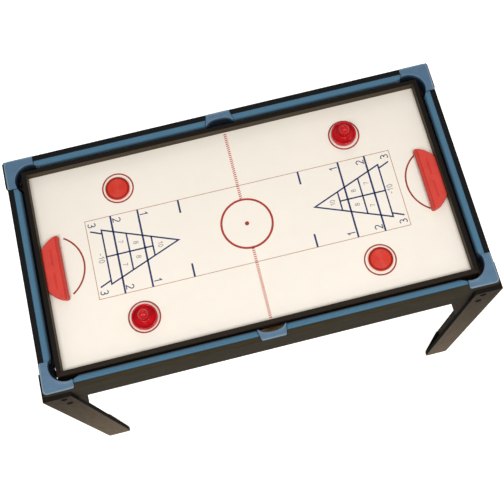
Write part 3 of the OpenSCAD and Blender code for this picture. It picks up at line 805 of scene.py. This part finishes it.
class GAMES_TABLE_OT_pockets(bpy.types.Operator):
    """Builds the pocket castings and finishes the baskets"""

    bl_idname = "games_table.pockets"
    bl_label = "Pockets"
    bl_options = {"REGISTER", "UNDO"}

    def swept(self, outer, inner, heights, edge):
        """A plate carried between an outer and an inner curve, with a round rim, a bead and an inner wall.

        Each section runs up the outer edge, over the plate and the bead, down the wall and back underneath.
        A point stands off from the outer curve (False) or from the inner one (True). At both ends of the
        sweep the section closes in on its own middle line and then onto that line's bend.
        With the plate come its measures: how much painted highlight and how much painted shade each point
        takes.
        """
        top, under, foot = heights
        wall, lip = 2 * MM, 2 * MM
        bead, bead_from, bead_wide = 0.7 * MM, 6.5 * MM, 4 * MM
        share, turn = np.linspace(0, 1, 6), np.linspace(0, QUARTER, 6)
        rim = [(False, edge * (1 - np.cos(a)), top - edge * (1 - np.sin(a))) for a in turn]
        rim += [(False, 1.8 * edge, top), (False, 2.6 * edge, top)]
        ridge = [(True, bead_from - bead_wide * k, top + bead * (1 - np.cos(np.pi * k)) / 2) for k in share]
        fall = [(True, lip * (1 - np.sin(a)), top + bead - lip * (1 - np.cos(a))) for a in turn]
        hang = [(True, 0, foot + (top - lip - foot) * (1 - k)) for k in np.linspace(0.2, 1, 6)]
        back = [(True, wall, foot), (True, wall, under), (False, edge, under), (False, 0, under)]
        section = rim + ridge + fall + hang + back

        painted_light_measures = np.zeros((len(section), 3))
        painted_light, dark = painted_light_measures[:, 0], painted_light_measures[:, 1]
        # Painted highlight on the rim's upper half and the lip, and painted shade on the rim's lower half and
        # its underside.
        painted_light[3:7], painted_light[16:18] = (0.2, 0.7, 1, 0.6), 0.6  # the rim's upper half and the lip
        dark[:5], dark[-1] = (1, 1, 0.9, 0.6, 0.2), 1  # the rim's lower half and its underside

        from_inner, off, z = (np.array(column) for column in zip(*section))
        from_inner = from_inner.astype(bool)
        hanging = from_inner & (z < under)
        mid_off = np.where(hanging, wall / 2, np.maximum(off, np.where(from_inner, wall / 2, edge)))
        mid_z = np.where(hanging, np.maximum(z, foot + wall / 2), (top + under) / 2)
        closing = np.array([0.8, 0.5, 0.2])
        extra = len(closing)
        order = np.pad(np.arange(len(outer)), extra, mode="edge")
        shrink = np.concatenate([closing, np.zeros(len(outer)), closing[::-1]])[:, None]
        off = off + shrink * (mid_off - off)
        z = z + shrink * (mid_z - z)
        way = inner - outer
        way = (way / np.linalg.norm(way, axis=1)[:, None])[order][:, None]
        step = off[..., None] * way
        plan = np.where(from_inner[None, :, None], inner[order][:, None] - step, outer[order][:, None] + step)
        rows = np.concatenate([plan, z[..., None]], -1)
        bend = raised(inner - wall / 2 * way[extra:-extra, 0], (top + under) / 2)
        first, last = (np.broadcast_to(bend[k], (1, len(section), 3)) for k in (0, -1))
        part = surface(np.concatenate([first, rows, last]), wrap_cols=True)
        return flipped(part), np.tile(painted_light_measures, (len(rows) + 2, 1))

    def peg(self, at, top):
        """A round peg under a casting, with an eased tip."""
        r, tall, inside = 2.5 * MM, 8 * MM, 1 * MM
        low, high = top - tall, top + inside
        return lathe([(0, low), (0.8 * r, low), (r, low + 0.2 * r), (r, high), (0, high)], (*at, 0), 24)

    def cast(self, plate, pegs, corner, finish, copies):
        """Joins a plate to its pegs, moves it off its own corner and mirrors it into each of its places."""
        part, painted_light_measures = plate
        part = moved(joined([part, *pegs]), *corner)
        painted_light_measures = np.pad(painted_light_measures, ((0, len(part[0]) - len(painted_light_measures)), (0, 0)))
        for name, mirrors in copies.items():
            there = mirrored(part, *mirrors)
            piece("moulded_" + name, there, finish, "table", [name], 40, painted_light_measures)

    def corner_plate(self, long_end, cross_end, heights):
        """The plate of a corner casting: two straight arms round a circle's bite, all their ends eased."""
        size = sizes()
        middle, r, ease = size.pocket_in, size.pocket_r, size.end_round
        start = np.degrees(-np.arccos((long_end - middle) / r))
        past = np.degrees(np.arcsin((cross_end - middle) / r))
        bite = arc(middle, middle, r, start, -180 - past, 60)
        first, last = bite[0], bite[-1]
        outer = eased(
            [(long_end, ease), (long_end, 0), (0, 0), (0, cross_end), (ease, cross_end)],
            (ease, size.corner_round, ease),
        )
        mouth = np.concatenate([
            eased([first - (0, ease), first, bite[4]], 0.8 * ease),
            bite[5:-5],
            eased([bite[-5], last, last - (ease, 0)], 0.8 * ease),
        ])
        return self.swept(even(outer, 72), even(mouth, 72), heights, size.casting_round)

    def side_plate(self, wide, deep, heights):
        """The plate of a side casting: a trapezium with a mouth that is half a rounded square.

        The mouth's points are x = half cos(a)^p and y = bottom - (bottom - neck) sin(a)^p.
        """
        size = sizes()
        ease, taper = size.end_round, 6 * MM
        neck, half, bottom, power = 17.5 * MM, wide - 1.5 * MM, 39 * MM, 2 / 2.6
        a = np.linspace(0, np.pi, 61)
        bow_x = half * np.sign(np.cos(a)) * np.abs(np.cos(a)) ** power
        bow = np.stack([bow_x, bottom - (bottom - neck) * np.sin(a) ** power], -1)
        bow = bow[bow[:, 1] < deep]
        tip, root, flip = np.array([wide, deep]), np.array([wide - taper, 0]), np.array([-1, 1])
        lean = (tip - root) / np.linalg.norm(tip - root) * ease
        outer = eased([root + lean, root, root * flip, (root + lean) * flip], ease)
        mouth = eased([tip - lean, tip, bow[2]], 0.5 * ease)
        mouth = np.concatenate([mouth, bow[3:-3], (mouth * flip)[::-1]])
        return self.swept(even(outer, 60), even(mouth, 60), heights, size.casting_round)

    def execute(self, context):
        tint = colours()
        lo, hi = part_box("corner_casting_front_left")
        half_l, half_w, top = -lo.x, -lo.y, hi.z
        long_end, cross_end = hi.x - lo.x, hi.y - lo.y
        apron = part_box("apron_front")[1]
        heights = top, apron.z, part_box("bed_cloth")[1].z + 0.5 * MM
        # Painted light on the castings: shade down the wall, a highlight on the rims and a shadow under them.
        plastic = plastic_finish(
            "casting_plastic", tint.casting, 0.42, 1400.0, 0.18, gloss=0.4, contrast=0.1, lobe=55.0,
            deep=(top - 1 * MM, top - 13 * MM, tint.casting_wall),
            marks=[(0, 0.1, 1.1, tint.casting_edge), (1, 0.0, 1.0, tint.casting_skirt)],
        )

        mid, peg_in, peg_apart = (apron.y + half_w) / 2, 12 * MM, 15 * MM
        pegs = [self.peg(at, apron.z) for at in ((long_end - peg_in, mid), (mid, cross_end - peg_in))]
        copies = {f"corner_casting_{SIDE[sy]}_{END[sx]}": (-sx, -sy) for sx, sy in CORNERS}
        plate = self.corner_plate(long_end, cross_end, heights)
        self.cast(plate, pegs, (-half_l, -half_w, 0), plastic, copies)

        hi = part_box("side_casting_front")[1]
        pegs = [self.peg((x, mid), apron.z) for x in (-peg_apart, peg_apart)]
        copies = {"side_casting_" + SIDE[sy]: (1, -sy) for sy in SIDE}
        plate = self.side_plate(hi.x, hi.y + half_w, heights)
        self.cast(plate, pegs, (0, -half_w, 0), plastic, copies)

        basket = plastic_finish("basket_plastic", tint.basket, 0.6, 1200.0, gloss=0.2)
        # The side baskets' paler plastic is painted light against the shade in the side pockets.
        side_basket = plastic_finish("side_basket_plastic", tint.side_basket, 0.6, 1200.0, gloss=0.2)
        for side in SIDE.values():
            dress(f"basket_{side}_middle", side_basket)
            for end in END.values():
                dress(f"basket_{side}_{end}", basket)
        return {"FINISHED"}


class GAMES_TABLE_OT_cushions(bpy.types.Operator):
    """Builds the six cloth-covered cushions"""

    bl_idname = "games_table.cushions"
    bl_label = "Cushions"
    bl_options = {"REGISTER", "UNDO"}

    def section(self, low, high, width):
        """Section as (distance from the apron, height), with eased bends.

        It runs along foot, undercut, nose, sloping front, top, back ridge and flat back.
        """
        gap, foot = 0.6 * MM, 7 * MM
        bends = [
            (gap, low),
            (foot, low),
            (width, high - 11 * MM),
            (width, high - 6.4 * MM),
            (width - 5.5 * MM, high - 2.3 * MM),
            (gap + 3 * MM, high + 0.3 * MM),
            (gap, high - 1.4 * MM),
            (gap, low),
        ]
        radii = np.array([1, 2.1, 2.1, 3, 1.6, 1.2]) * MM
        return even(eased(bends, radii), 61)[:-1]

    def sweep(self, section, first, last, steps):
        """The section carried from first(v) to last(v) along u; both ends close in over a quarter circle.

        With it come the cloth's measures: the way along u, the way round the section, and how much painted
        shade it takes, most at the nose and at the back ridge.
        """
        end_round, pinch, nose_shade_width, back_shade_width = 0.4 * MM, 0.08, 5 * MM, 1.5 * MM
        turn = np.linspace(0, QUARTER, 6)[1:]
        close = np.concatenate([[1.0], pinch * (1 - np.sin(turn))])
        push = np.concatenate([[0.0], end_round * (1 - np.cos(turn))])
        span = np.zeros(steps)
        inset = np.concatenate([close, span, close[::-1]])[:, None, None]
        share = np.pad(np.linspace(0, 1, steps + 2)[1:-1], len(close), constant_values=(0, 1))[:, None]
        rows = section + inset * (section.mean(0) - section)
        v, z = rows[..., 0], rows[..., 1]
        start = first(v) + np.concatenate([push, span, 0 * push])[:, None]
        stop = last(v) - np.concatenate([0 * push, span, push[::-1]])[:, None]
        u = start + share * (stop - start)
        # Painted shade: the cloth darkens towards the nose and at the back ridge.
        back = section[:, 0] - section[:, 0].min()
        painted_shade_share = np.maximum(ramp(back, back.max() - nose_shade_width, back.max()), ramp(back, back_shade_width, 0))
        measures = np.stack(np.broadcast_arrays(u, run_along(section), painted_shade_share), -1)
        return surface(np.stack([u, v, z], -1), wrap_cols=True), measures.reshape(-1, 3)

    def cover(self, part, measures, cloth, copies):
        """Mirrors a cushion into each of its places."""
        for name, mirrors in copies.items():
            there = mirrored(part, *mirrors)
            made = piece("covered_" + name, there, cloth, "table", [name], 50, measures)

    def execute(self, context):
        tint, size = colours(), sizes()
        cloth = cloth_finish("cushion_cloth", tint.cushion, 1.1 * MM, tint.cushion_nose)
        low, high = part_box("apron_front")
        half_l, half_w, apron = high.x, -low.y, high.y - low.y
        lo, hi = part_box("cushion_front_left")
        section = self.section(lo.z, hi.z, hi.y - high.y) + (apron, 0)
        pocket, radius = size.pocket_in, size.pocket_r + 0.2 * MM

        def clear(v, square):
            """Where a cushion starts: at the casting's end, or where the pocket's circle cuts it."""
            return np.maximum(square, pocket + np.sqrt(np.maximum(radius**2 - (v - pocket) ** 2, 0)))

        start, middle, slope = lo.x + half_l, 0.3 * MM - hi.x, 6 / 29.5
        part, measures = self.sweep(
            section, lambda v: clear(v, start), lambda v: half_l - middle - slope * (v - apron), 72
        )
        copies = {f"cushion_{SIDE[sy]}_{END[sx]}": (-sx, -sy) for sx, sy in CORNERS}
        self.cover(moved(flipped(part), -half_l, -half_w, 0), measures, cloth, copies)

        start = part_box("cushion_end_left")[0].y + half_w
        (points, faces), measures = self.sweep(
            section, lambda v: clear(v, start), lambda v: 2 * half_w - clear(v, start), 60
        )
        copies = {"cushion_end_" + END[sx]: (-sx, 1) for sx in END}
        self.cover(moved((points[:, [1, 0, 2]], faces), -half_l, -half_w, 0), measures, cloth, copies)
        return {"FINISHED"}


class GAMES_TABLE_OT_bed(bpy.types.Operator):
    """Lays the cloth on the bed, with its edges turned down into the pockets"""

    bl_idname = "games_table.bed"
    bl_label = "Bed cloth"
    bl_options = {"REGISTER", "UNDO"}

    def execute(self, context):
        size = sizes()
        half_l, half_w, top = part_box("bed_cloth")[1]
        edge = size.pocket_in - (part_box("apron_front")[1].x - half_l)
        radius, turned, curl, thickness = size.pocket_r - 0.3 * MM, 7 * MM, 1.5 * MM, 0.8 * MM
        xs = [-half_l, -half_l + 2 * edge, -edge, edge, half_l - 2 * edge, half_l]
        ys = [-half_w, -half_w + 2 * edge, half_w - 2 * edge, half_w]
        hole_steps, long_steps = 16, 30

        def plain(x0, x1, y0, y1, nx, ny):
            """A flat rectangle of nx by ny faces."""
            x, y = np.meshgrid(np.linspace(x0, x1, nx + 1), np.linspace(y0, y1, ny + 1), indexing="ij")
            return surface(np.stack([x, y, np.full_like(x, top)], -1))

        def holed(x0, x1, y0, y1):
            """A square with a round hole: straight lines run from the turned-down hole to the rim."""
            t, one = np.linspace(-1, 1, hole_steps, endpoint=False), np.ones(hole_steps)
            rim = np.concatenate([np.stack(p, -1) for p in ((t, -one), (one, t), (-t, one), (-one, -t))])
            way = rim / np.linalg.norm(rim, axis=1)[:, None]
            middle = np.array([(x0 + x1) / 2, (y0 + y1) / 2])
            rings = [raised(middle + way * radius, top - turned)]
            rings += [
                raised(middle + way * (radius + curl * (1 - np.cos(a))), top - curl * (1 - np.sin(a)))
                for a in np.linspace(0, QUARTER, 5)
            ]
            rings += [
                raised(middle + (1 - k) * way * (radius + curl) + k * rim * edge, top)
                for k in np.linspace(0, 1, 7)[1:]
            ]
            return surface(np.stack(rings), wrap_cols=True)

        parts = []
        for i in range(len(xs) - 1):
            for j in range(len(ys) - 1):
                box = (xs[i], xs[i + 1], ys[j], ys[j + 1])
                nx, ny = (long_steps if k % 2 else hole_steps for k in (i, j))
                parts.append(plain(*box, nx, ny) if i % 2 or j % 2 else holed(*box))
        part = joined(parts)
        # The bed cloth's darker colour is partly painted shade.
        finish = cloth_finish("bed_cloth", colours().bed, 1.0 * MM)
        cloth = piece("laid_bed_cloth", part, finish, "table", ["bed_cloth"], 60, part[0])
        thick = cloth.modifiers.new("thickness", "SOLIDIFY")
        thick.thickness, thick.offset = thickness, -1
        return {"FINISHED"}


class GAMES_TABLE_OT_fasteners(bpy.types.Operator):
    """Builds the leg bolts and the end panels' screws, and finishes the inserts and the baskets' screws"""

    bl_idname = "games_table.fasteners"
    bl_label = "Bolts and screws"
    bl_options = {"REGISTER", "UNDO"}

    def fastener(self, head, tall, shank, reach, at, out):
        """A domed head with a six-sided socket, and a shank, turned about the axis out.

        The socket's radius at angle a is a hexagon's: cos 30 / cos a, with a folded onto its nearest side.
        """
        r, dome, tip, skirt, turns = head / 2, 0.45 * tall, 0.4 * MM, 0.3 * MM, 24
        socket, rod, a = 0.42 * r, shank / 2, np.linspace(0, QUARTER, 7)
        below = [(0, -reach), (rod - tip, -reach), (rod, tip - reach), (rod, 0), (r - skirt, 0), (r, skirt)]
        crown = np.stack([r - (r - 1.25 * socket) * (1 - np.cos(a)), tall - dome * (1 - np.sin(a))], -1)
        hollow = [(socket, 0.96 * tall), (socket, 0.4 * tall), (0, 0.35 * tall)]
        radius, height = np.concatenate([below, crown, hollow]).T
        a = np.linspace(0, 2 * np.pi, turns, endpoint=False)[:, None]
        hexagon = np.cos(np.pi / 6) / np.cos((a + np.pi / 6) % (np.pi / 3) - np.pi / 6)
        wide = np.where(np.arange(len(radius)) >= len(radius) - len(hollow), hexagon, 1.0) * radius
        axis, side = np.array(out, float), np.array([0, 0, 1.0])
        spoke = np.cos(a) * side + np.sin(a) * np.cross(axis, side)
        points = wide[..., None] * spoke[:, None] + height[:, None] * axis
        return surface(points + np.array(at, float), wrap_rows=True)

    def fasten(self, name, kind, places, finish):
        """Sets fasteners of one kind at each place and way out, at the node's lowest and highest rows."""
        low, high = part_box(name)
        head = kind[0]
        parts = [
            self.fastener(*kind, (x, y, z), out)
            for x, y, out in places
            for z in (low.z + head / 2, high.z - head / 2)
        ]
        piece("turned_" + name, joined(parts), finish, "table", [name], 30)

    def execute(self, context):
        size = sizes()
        steel = steel_finish("dark_steel", colours().steel)
        lo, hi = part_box("leg_front_left_side")
        leg_x, leg_y, leg_t = -lo.x, -lo.y, hi.y - lo.y
        bolt, screw = np.array([14, 3.5, 6, 22]) * MM, np.array([9, 2.5, 4, 18]) * MM
        side_bolts = [(sx * (leg_x - size.bolt_in), sy * leg_y, (0, sy, 0)) for sx, sy in CORNERS]
        end_bolts = [(sx * leg_x, sy * (leg_y - size.bolt_in), (sx, 0, 0)) for sx, sy in CORNERS]
        screws = [(sx * leg_x, sy * (leg_y - leg_t - size.screw_in), (sx, 0, 0)) for sx, sy in CORNERS]
        self.fasten("leg_bolts", bolt, side_bolts + end_bolts, steel)
        self.fasten("panel_screws", screw, screws, steel)
        dress("leg_inserts", steel)
        dress("basket_screws", steel)
        return {"FINISHED"}


class GAMES_TABLE_OT_field(bpy.types.Operator):
    """Finishes the playing panel and prints its lines and numbers"""

    bl_idname = "games_table.field"
    bl_label = "Printed field"
    bl_options = {"REGISTER", "UNDO"}

    def digit(self, mark):
        """Strokes of a number one unit high: lines and arcs as (path, closed), each path of (x, y)."""
        two = np.concatenate([arc(0.28, 0.73, 0.27, 165, -35, 14), [(0.02, 0.0), (0.58, 0.0)]])
        three = np.concatenate([arc(0.26, 0.755, 0.245, 150, -80, 14), arc(0.26, 0.265, 0.265, 80, -150, 14)])
        strokes = {
            "1": [([(0.1, 0.76), (0.34, 1.0), (0.34, 0.0)], False)],
            "2": [(two, False)],
            "3": [(three, False)],
            "7": [([(0.02, 1.0), (0.54, 1.0), (0.2, 0.0)], False)],
            "8": [(arc(0.28, 0.77, 0.23, 0, 345, 24), True), (arc(0.28, 0.262, 0.262, 0, 345, 24), True)],
            "0": [(arc(0, 0, 1, 0, 345, 24) * (0.25, 0.5) + (0.3, 0.5), True)],
            "-": [([(0.08, 0.45), (0.46, 0.45)], False)],
        }
        return strokes[mark]

    def execute(self, context):
        tint, size = colours(), sizes()
        dress("playfield_panel", field_finish("field_lacquer", tint.field), size.edge_round)
        half_w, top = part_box("playfield_panel")[1].yz
        puck_left, puck_right, pusher_left, pusher_right = (
            centre_of(name) for name in ("puck_left", "puck_right", "pusher_left", "pusher_right")
        )
        middle = (puck_left.x + puck_right.x + pusher_left.x + pusher_right.x) / 4
        spot_x, spot_y = (puck_right.x - puck_left.x) / 2, (puck_left.y - puck_right.y) / 2
        low, proud, skew = top - 0.3 * MM, size.print_proud, size.print_skew
        turn = np.array([[np.cos(skew), np.sin(skew)], [-np.sin(skew), np.cos(skew)]])

        def printed(name, ink, strips, lift):
            """Strips of (path, width, closed), turned and shifted with the print, as one piece in one ink."""
            parts = [
                ribbon(path @ turn + (middle, size.print_shift), width, low, top + lift, closed)
                for path, width, closed in strips
            ]
            finish = ink_finish(ink, getattr(tint, ink))
            piece(name, joined(parts), finish, "hockey_board")

        def circle(x, y, radius, width, steps=96):
            """A ring about (x, y)."""
            return arc(x, y, radius, 0, 360 - 360 / steps, steps), width, True

        def both(path, width, closed=False):
            """A strip at the right end, and the same turned half round for the left end."""
            path = np.asarray(path, float)
            return [(path, width, closed), (-path, width, closed)]

        def number(text, x, y, tall, width):
            """A number at each end, centred on (x, y), whose top looks towards the table's middle."""
            strips = []
            for k, mark in enumerate(text):
                shift = (k - (len(text) - 1) / 2) * 0.68 * tall
                for path, closed in self.digit(mark):
                    across, up = ((np.asarray(path, float) - (0.29, 0.5)) * tall).T
                    strips += both(np.stack([x - up, y + across + shift], -1), width, closed)
            return strips

        circle_r, ring_r, dot = 61.2 * MM, 36.8 * MM, 2.6 * MM
        printed("print_red", "red_ink", [circle(0, 0, circle_r, size.circle_line)], proud)
        rings = [circle(sx * spot_x, sy * spot_y, ring_r, size.ring_line) for sx, sy in CORNERS]
        rings.append(circle(0, 0, dot, 2 * dot, 24))
        goal_x, crease_r, crease_turn = 479 * MM, 83.7 * MM, 57
        rings += both(arc(goal_x, 0, crease_r, 180 - crease_turn, 180 + crease_turn, 48), size.arc_line)
        printed("print_rings", "ring_ink", rings, proud)
        bar_x, bar_lean, bar_clear = 3.6 * MM, 0.6 * MM, 62.5 * MM
        bars = np.arange(-half_w + 3 * MM, half_w - 2 * MM, size.bar_pitch)
        bars = bars[np.abs(bars) > bar_clear]
        bars = [(np.array([(-bar_x, y - bar_lean), (bar_x, y + bar_lean)]), size.bar, False) for y in bars]
        printed("print_bars", "bar_ink", bars, proud)
        box_x, lane = 376.5 * MM, 98.5 * MM
        border = np.array([(-box_x, -lane), (box_x, -lane), (box_x, lane), (-box_x, lane)])
        printed("print_border", "thin_ink", [(border, size.thin_line, True)], 0.8 * proud)

        tip, base, half, thick = 167 * MM, 341.5 * MM, 68.5 * MM, size.triangle_line
        first_bar, second_bar, tick_x, tick_in = 229 * MM, 285.3 * MM, 148.5 * MM, 65 * MM
        tail_from, tail_x, tail_y, digit_y = 59 * MM, 368.5 * MM, 70.5 * MM, 85 * MM
        blue = both([(tip, 0), (base, half), (base, -half)], thick, True)
        for x in (first_bar, second_bar):
            reach = half * (x - tip) / (base - tip)
            blue += both([(x, -reach), (x, reach)], thick)
        blue += both([(first_bar, 0), (base, 0)], thick)
        for x in (248.3 * MM, 314.5 * MM):
            blue += both([(x, -lane), (x, lane)], size.line)
        for sy in SIDE:
            blue += both([(tick_x, sy * lane), (tick_x, sy * tick_in)], size.line)
            blue += both([(base, sy * tail_from), (tail_x, sy * tail_y)], thick)
            for text, x in (("1", 235), ("2", 301), ("3", 362)):
                blue += number(text, x * MM, sy * digit_y, size.digit, 0.13 * size.digit)
        printed("print_blue", "blue_ink", blue, 1.2 * proud)

        small, grey = size.small_digit, []
        for text, x, y in (("10", 211, 0), ("8", 267, 18), ("8", 267, -18), ("7", 302, 29), ("7", 302, -29)):
            grey += number(text, x * MM, y * MM, small, 0.13 * small)
        grey += number("-10", 354 * MM, 0, 1.15 * small, 0.15 * small)
        printed("print_grey", "grey_ink", grey, proud)
        return {"FINISHED"}


class GAMES_TABLE_OT_goals(bpy.types.Operator):
    """Builds the two moulded goals"""

    bl_idname = "games_table.goals"
    bl_label = "Goals"
    bl_options = {"REGISTER", "UNDO"}

    def execute(self, context):
        tint = colours()
        lo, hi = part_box("goal_right")
        depth, wide, tall = hi.x - lo.x - 1.5 * MM, hi.y, hi.z - lo.z
        # Painted shade on the front lip, which falls towards the field.
        front_lip_shade = (0, depth - 8 * MM, depth - 6 * MM, tint.goal_lip)
        plastic = plastic_finish("goal_plastic", tint.goal, 0.38, 1600.0, 0.1, gloss=0.35, marks=[front_lip_shade])
        lip, corner, back, wall, roof, ease = np.array([1.2, 6.3, 50, 4.5, 5.4, 3.4]) * MM
        roof_z = tall - lip
        t = np.sin(np.linspace(-QUARTER, QUARTER, 121))

        def quarter(at, reach, drop):
            """Fall of a quarter ellipse: nothing from reach inwards, drop at the edge."""
            return drop * (1 - np.sqrt(1 - np.clip(1 - at / reach, 0, 1) ** 2))

        def half(u):
            """Half width: wide less (wide - back) (1 - u / depth)^2.2, with round front corners."""
            bowed = wide - (wide - back) * (1 - np.minimum(u / depth, 1)) ** 2.2
            return bowed - quarter(depth - u, corner, corner)

        def relief(u, y):
            """Height of the roof: a crown of 1 - (y / wide)^2, a ridge and a step up to the round front lip.

            A groove behind the lip, two slots and the quarter-round edges are taken off.
            The ridge, the groove and the slots are bells from front to back.
            """
            front = depth - u
            crown = 0.5 * MM * ((1 - (y / wide) ** 2) * ramp(front, 0, 12 * MM) - 1)
            ridge = 0.5 * MM * bell(front, 13 * MM, 3.5 * MM)
            step = lip * ramp(front, 7.5 * MM, 6 * MM)
            groove = 1.9 * MM * bell(front, 8.2 * MM, 1.3 * MM)
            slot_way = ramp(np.abs(np.abs(y) - 29 * MM), 21.5 * MM, 20 * MM)
            slot = 2.3 * MM * slot_way * bell(front, 24.5 * MM, 1.6 * MM, 4)
            edges = quarter(front, 7.5 * MM, 5.4 * MM) + quarter(u, 7 * MM, 5 * MM)
            return crown + ridge + step - groove - slot - edges

        def outer(u):
            """Section at depth u: wall, quarter-round shoulder, roof, shoulder, wall."""
            u = np.asarray(u, float)[:, None]
            y = t[None] * half(u)
            side = np.maximum(np.abs(y) - (half(u) - ease), 0)
            drop = ease - np.sqrt(np.maximum(ease**2 - side**2, 0))
            z = roof_z + relief(u, y) - drop
            return np.stack([np.broadcast_to(u, y.shape), y, z], -1)

        def lined(rows):
            """Rows of a roof, each carried down to the ground at both ends."""
            down = rows * (1, 1, 0)
            return np.concatenate([down[:, :1], rows, down[:, -1:]], 1)

        def turned(points):
            """A surface that looks the other way."""
            return flipped(surface(points))

        stations = np.unique(np.concatenate([np.linspace(0, depth, 90), depth - np.linspace(0, 7, 22) * MM]))
        inner_u = np.maximum(stations, wall)[:, None]
        room_half = np.minimum(half(inner_u), half(depth)) - wall
        ceiling = np.stack(np.broadcast_arrays(inner_u, t * room_half, roof_z - roof), -1)
        top = outer(stations)
        skin, room = lined(top), lined(ceiling)
        rear, room_rear = (np.stack([row * (1, 1, 0), row]) for row in (top[0], ceiling[0]))
        shell = joined([
            surface(skin),
            turned(room),
            turned(np.stack([room[-1], skin[-1]])),
            turned(np.stack([skin[:, 0], room[:, 0]], 1)),
            surface(np.stack([skin[:, -1], room[:, -1]], 1)),
            surface(rear),
            turned(room_rear),
            turned(np.stack([rear[0], room_rear[0]])),
        ])
        for sx in END:
            name = "goal_" + END[sx]
            there = mirrored(moved(shell, -hi.x, 0, lo.z), -sx, 1)
            piece("moulded_" + name, there, plastic, "hockey_board", [name], 32, shell[0])
        return {"FINISHED"}


class GAMES_TABLE_OT_pucks(bpy.types.Operator):
    """Turns the two pucks"""

    bl_idname = "games_table.pucks"
    bl_label = "Pucks"
    bl_options = {"REGISTER", "UNDO"}

    def execute(self, context):
        tint = colours()
        lo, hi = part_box("puck_left")
        r, tall = (hi.x - lo.x) / 2, hi.z - lo.z
        lift, edge, rim = 0.1 * MM, 2.6 * MM, 4.6 * MM
        # Painted shade in the groove inside the rim, and painted light on the wall under the rounded edge.
        dark = (0, r - 4.8 * MM, r - 3.0 * MM, tint.puck_rim)
        painted_light = (0, r - 1.8 * MM, r - 0.3 * MM, tint.puck_wall)
        marks = [dark, painted_light]
        plastic = plastic_finish("puck_plastic", tint.puck, 0.4, 2200.0, 0.1, gloss=0.35, marks=marks)
        # The top: a groove inside the rim, and fine ripples that begin inside the groove.
        rings = np.linspace(r - edge, 0, 121)
        groove = 2.4 * MM * bell(rings, r - rim, 0.9 * MM)
        ripple = 0.22 * MM * np.cos(2 * np.pi * rings / (3.2 * MM)) * ramp(r - rim - rings, 0, 3 * MM)
        profile = np.concatenate([
            [(0, lift), (r - edge, lift)],
            arc(r - edge, lift + edge, edge, -80, 0, 6),
            arc(r - edge, tall - edge, edge, 0, 90, 8)[:-1],
            np.stack([rings, tall - groove - ripple], -1),
        ])
        for end in END.values():
            name = "puck_" + end
            at = centre_of(name)
            part = lathe(profile, (at.x, at.y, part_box(name)[0].z))
            measures = np.tile(np.pad(profile, ((0, 0), (0, 1))), (len(part[0]) // len(profile), 1))
            piece("turned_" + name, part, plastic, name, [name], 40, measures)
        return {"FINISHED"}


class GAMES_TABLE_OT_pushers(bpy.types.Operator):
    """Turns the two pushers"""

    bl_idname = "games_table.pushers"
    bl_label = "Pushers"
    bl_options = {"REGISTER", "UNDO"}

    def execute(self, context):
        plastic = plastic_finish(
            "pusher_plastic", colours().pusher, 0.16, 2600.0, 0.03, gloss=0.3, shine=(1.0, 0.42, 0.38, 1.0),
            coat=0.25, coat_roughness=0.12,
        )
        lo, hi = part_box("pusher_left")
        r, tall = (hi.x - lo.x) / 2, hi.z - lo.z
        lift, base_round, hollow, rise = np.array([0.1, 1, 0.5, 0.1]) * MM
        rim, height, bottom, knob, neck, fillet = np.array([5, 13, 4, 12.5, 8.5, 3.2]) * MM
        knob_z, brim = tall - knob, height - rim / 2
        # The profile: a dish with a round rim and a quarter-ellipse bowl, a neck, and a ball with a dimple.
        below = -np.degrees(np.arccos(neck / knob))
        cap = arc(0, knob_z, knob, below, 80, 26)
        dimple = np.linspace(cap[-1, 0], 0, 10)
        dimple_z = cap[-1, 1] + rise - hollow * np.cos(QUARTER * dimple / cap[-1, 0])
        bowl = arc(0, 0, 1, 0, -90, 15)[1:] * (r - rim - neck - fillet, brim - bottom) + (neck + fillet, brim)
        profile = np.concatenate([
            [(0, lift), (r - base_round, lift)],
            arc(r - base_round, lift + base_round, base_round, -80, 0, 5),
            arc(r - rim / 2, brim, rim / 2, 0, 180, 17),
            bowl,
            arc(neck + fillet, bottom + fillet, fillet, 270, 180, 9),
            [(neck, (bottom + fillet + cap[0, 1]) / 2)],
            cap,
            np.stack([dimple, dimple_z], -1)[1:],
        ])
        for end in END.values():
            name = "pusher_" + end
            at = centre_of(name)
            part = lathe(profile, (at.x, at.y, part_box(name)[0].z))
            piece("turned_" + name, part, plastic, name, [name], 40)
        return {"FINISHED"}


class GAMES_TABLE_PT_dresser(bpy.types.Panel):
    """Lists the operators in the sidebar"""

    bl_label = "Games table"
    bl_space_type = "VIEW_3D"
    bl_region_type = "UI"
    bl_category = "Games table"

    def draw(self, context):
        for maker in MAKERS:
            self.layout.operator(maker.bl_idname)


MAKERS = (
    GAMES_TABLE_OT_stage,
    GAMES_TABLE_OT_boards,
    GAMES_TABLE_OT_pockets,
    GAMES_TABLE_OT_cushions,
    GAMES_TABLE_OT_bed,
    GAMES_TABLE_OT_fasteners,
    GAMES_TABLE_OT_field,
    GAMES_TABLE_OT_goals,
    GAMES_TABLE_OT_pucks,
    GAMES_TABLE_OT_pushers,
)
GROUPS = {"table_colours": TableColours, "table_sizes": TableSizes, "stage_sizes": StageSizes}


def register():
    """Registers the classes and hangs the property groups on the scene."""
    for kind in (*GROUPS.values(), *MAKERS, GAMES_TABLE_PT_dresser):
        bpy.utils.register_class(kind)
    for name, kind in GROUPS.items():
        setattr(bpy.types.Scene, name, PointerProperty(type=kind))


def unregister():
    """Takes away what register added."""
    for name in GROUPS:
        delattr(bpy.types.Scene, name)
    for kind in (GAMES_TABLE_PT_dresser, *reversed(MAKERS), *reversed(GROUPS.values())):
        bpy.utils.unregister_class(kind)


def main():
    register()
    for maker in MAKERS:
        kind, name = maker.bl_idname.split(".")
        getattr(getattr(bpy.ops, kind), name)()


if __name__ == "__main__":
    main()
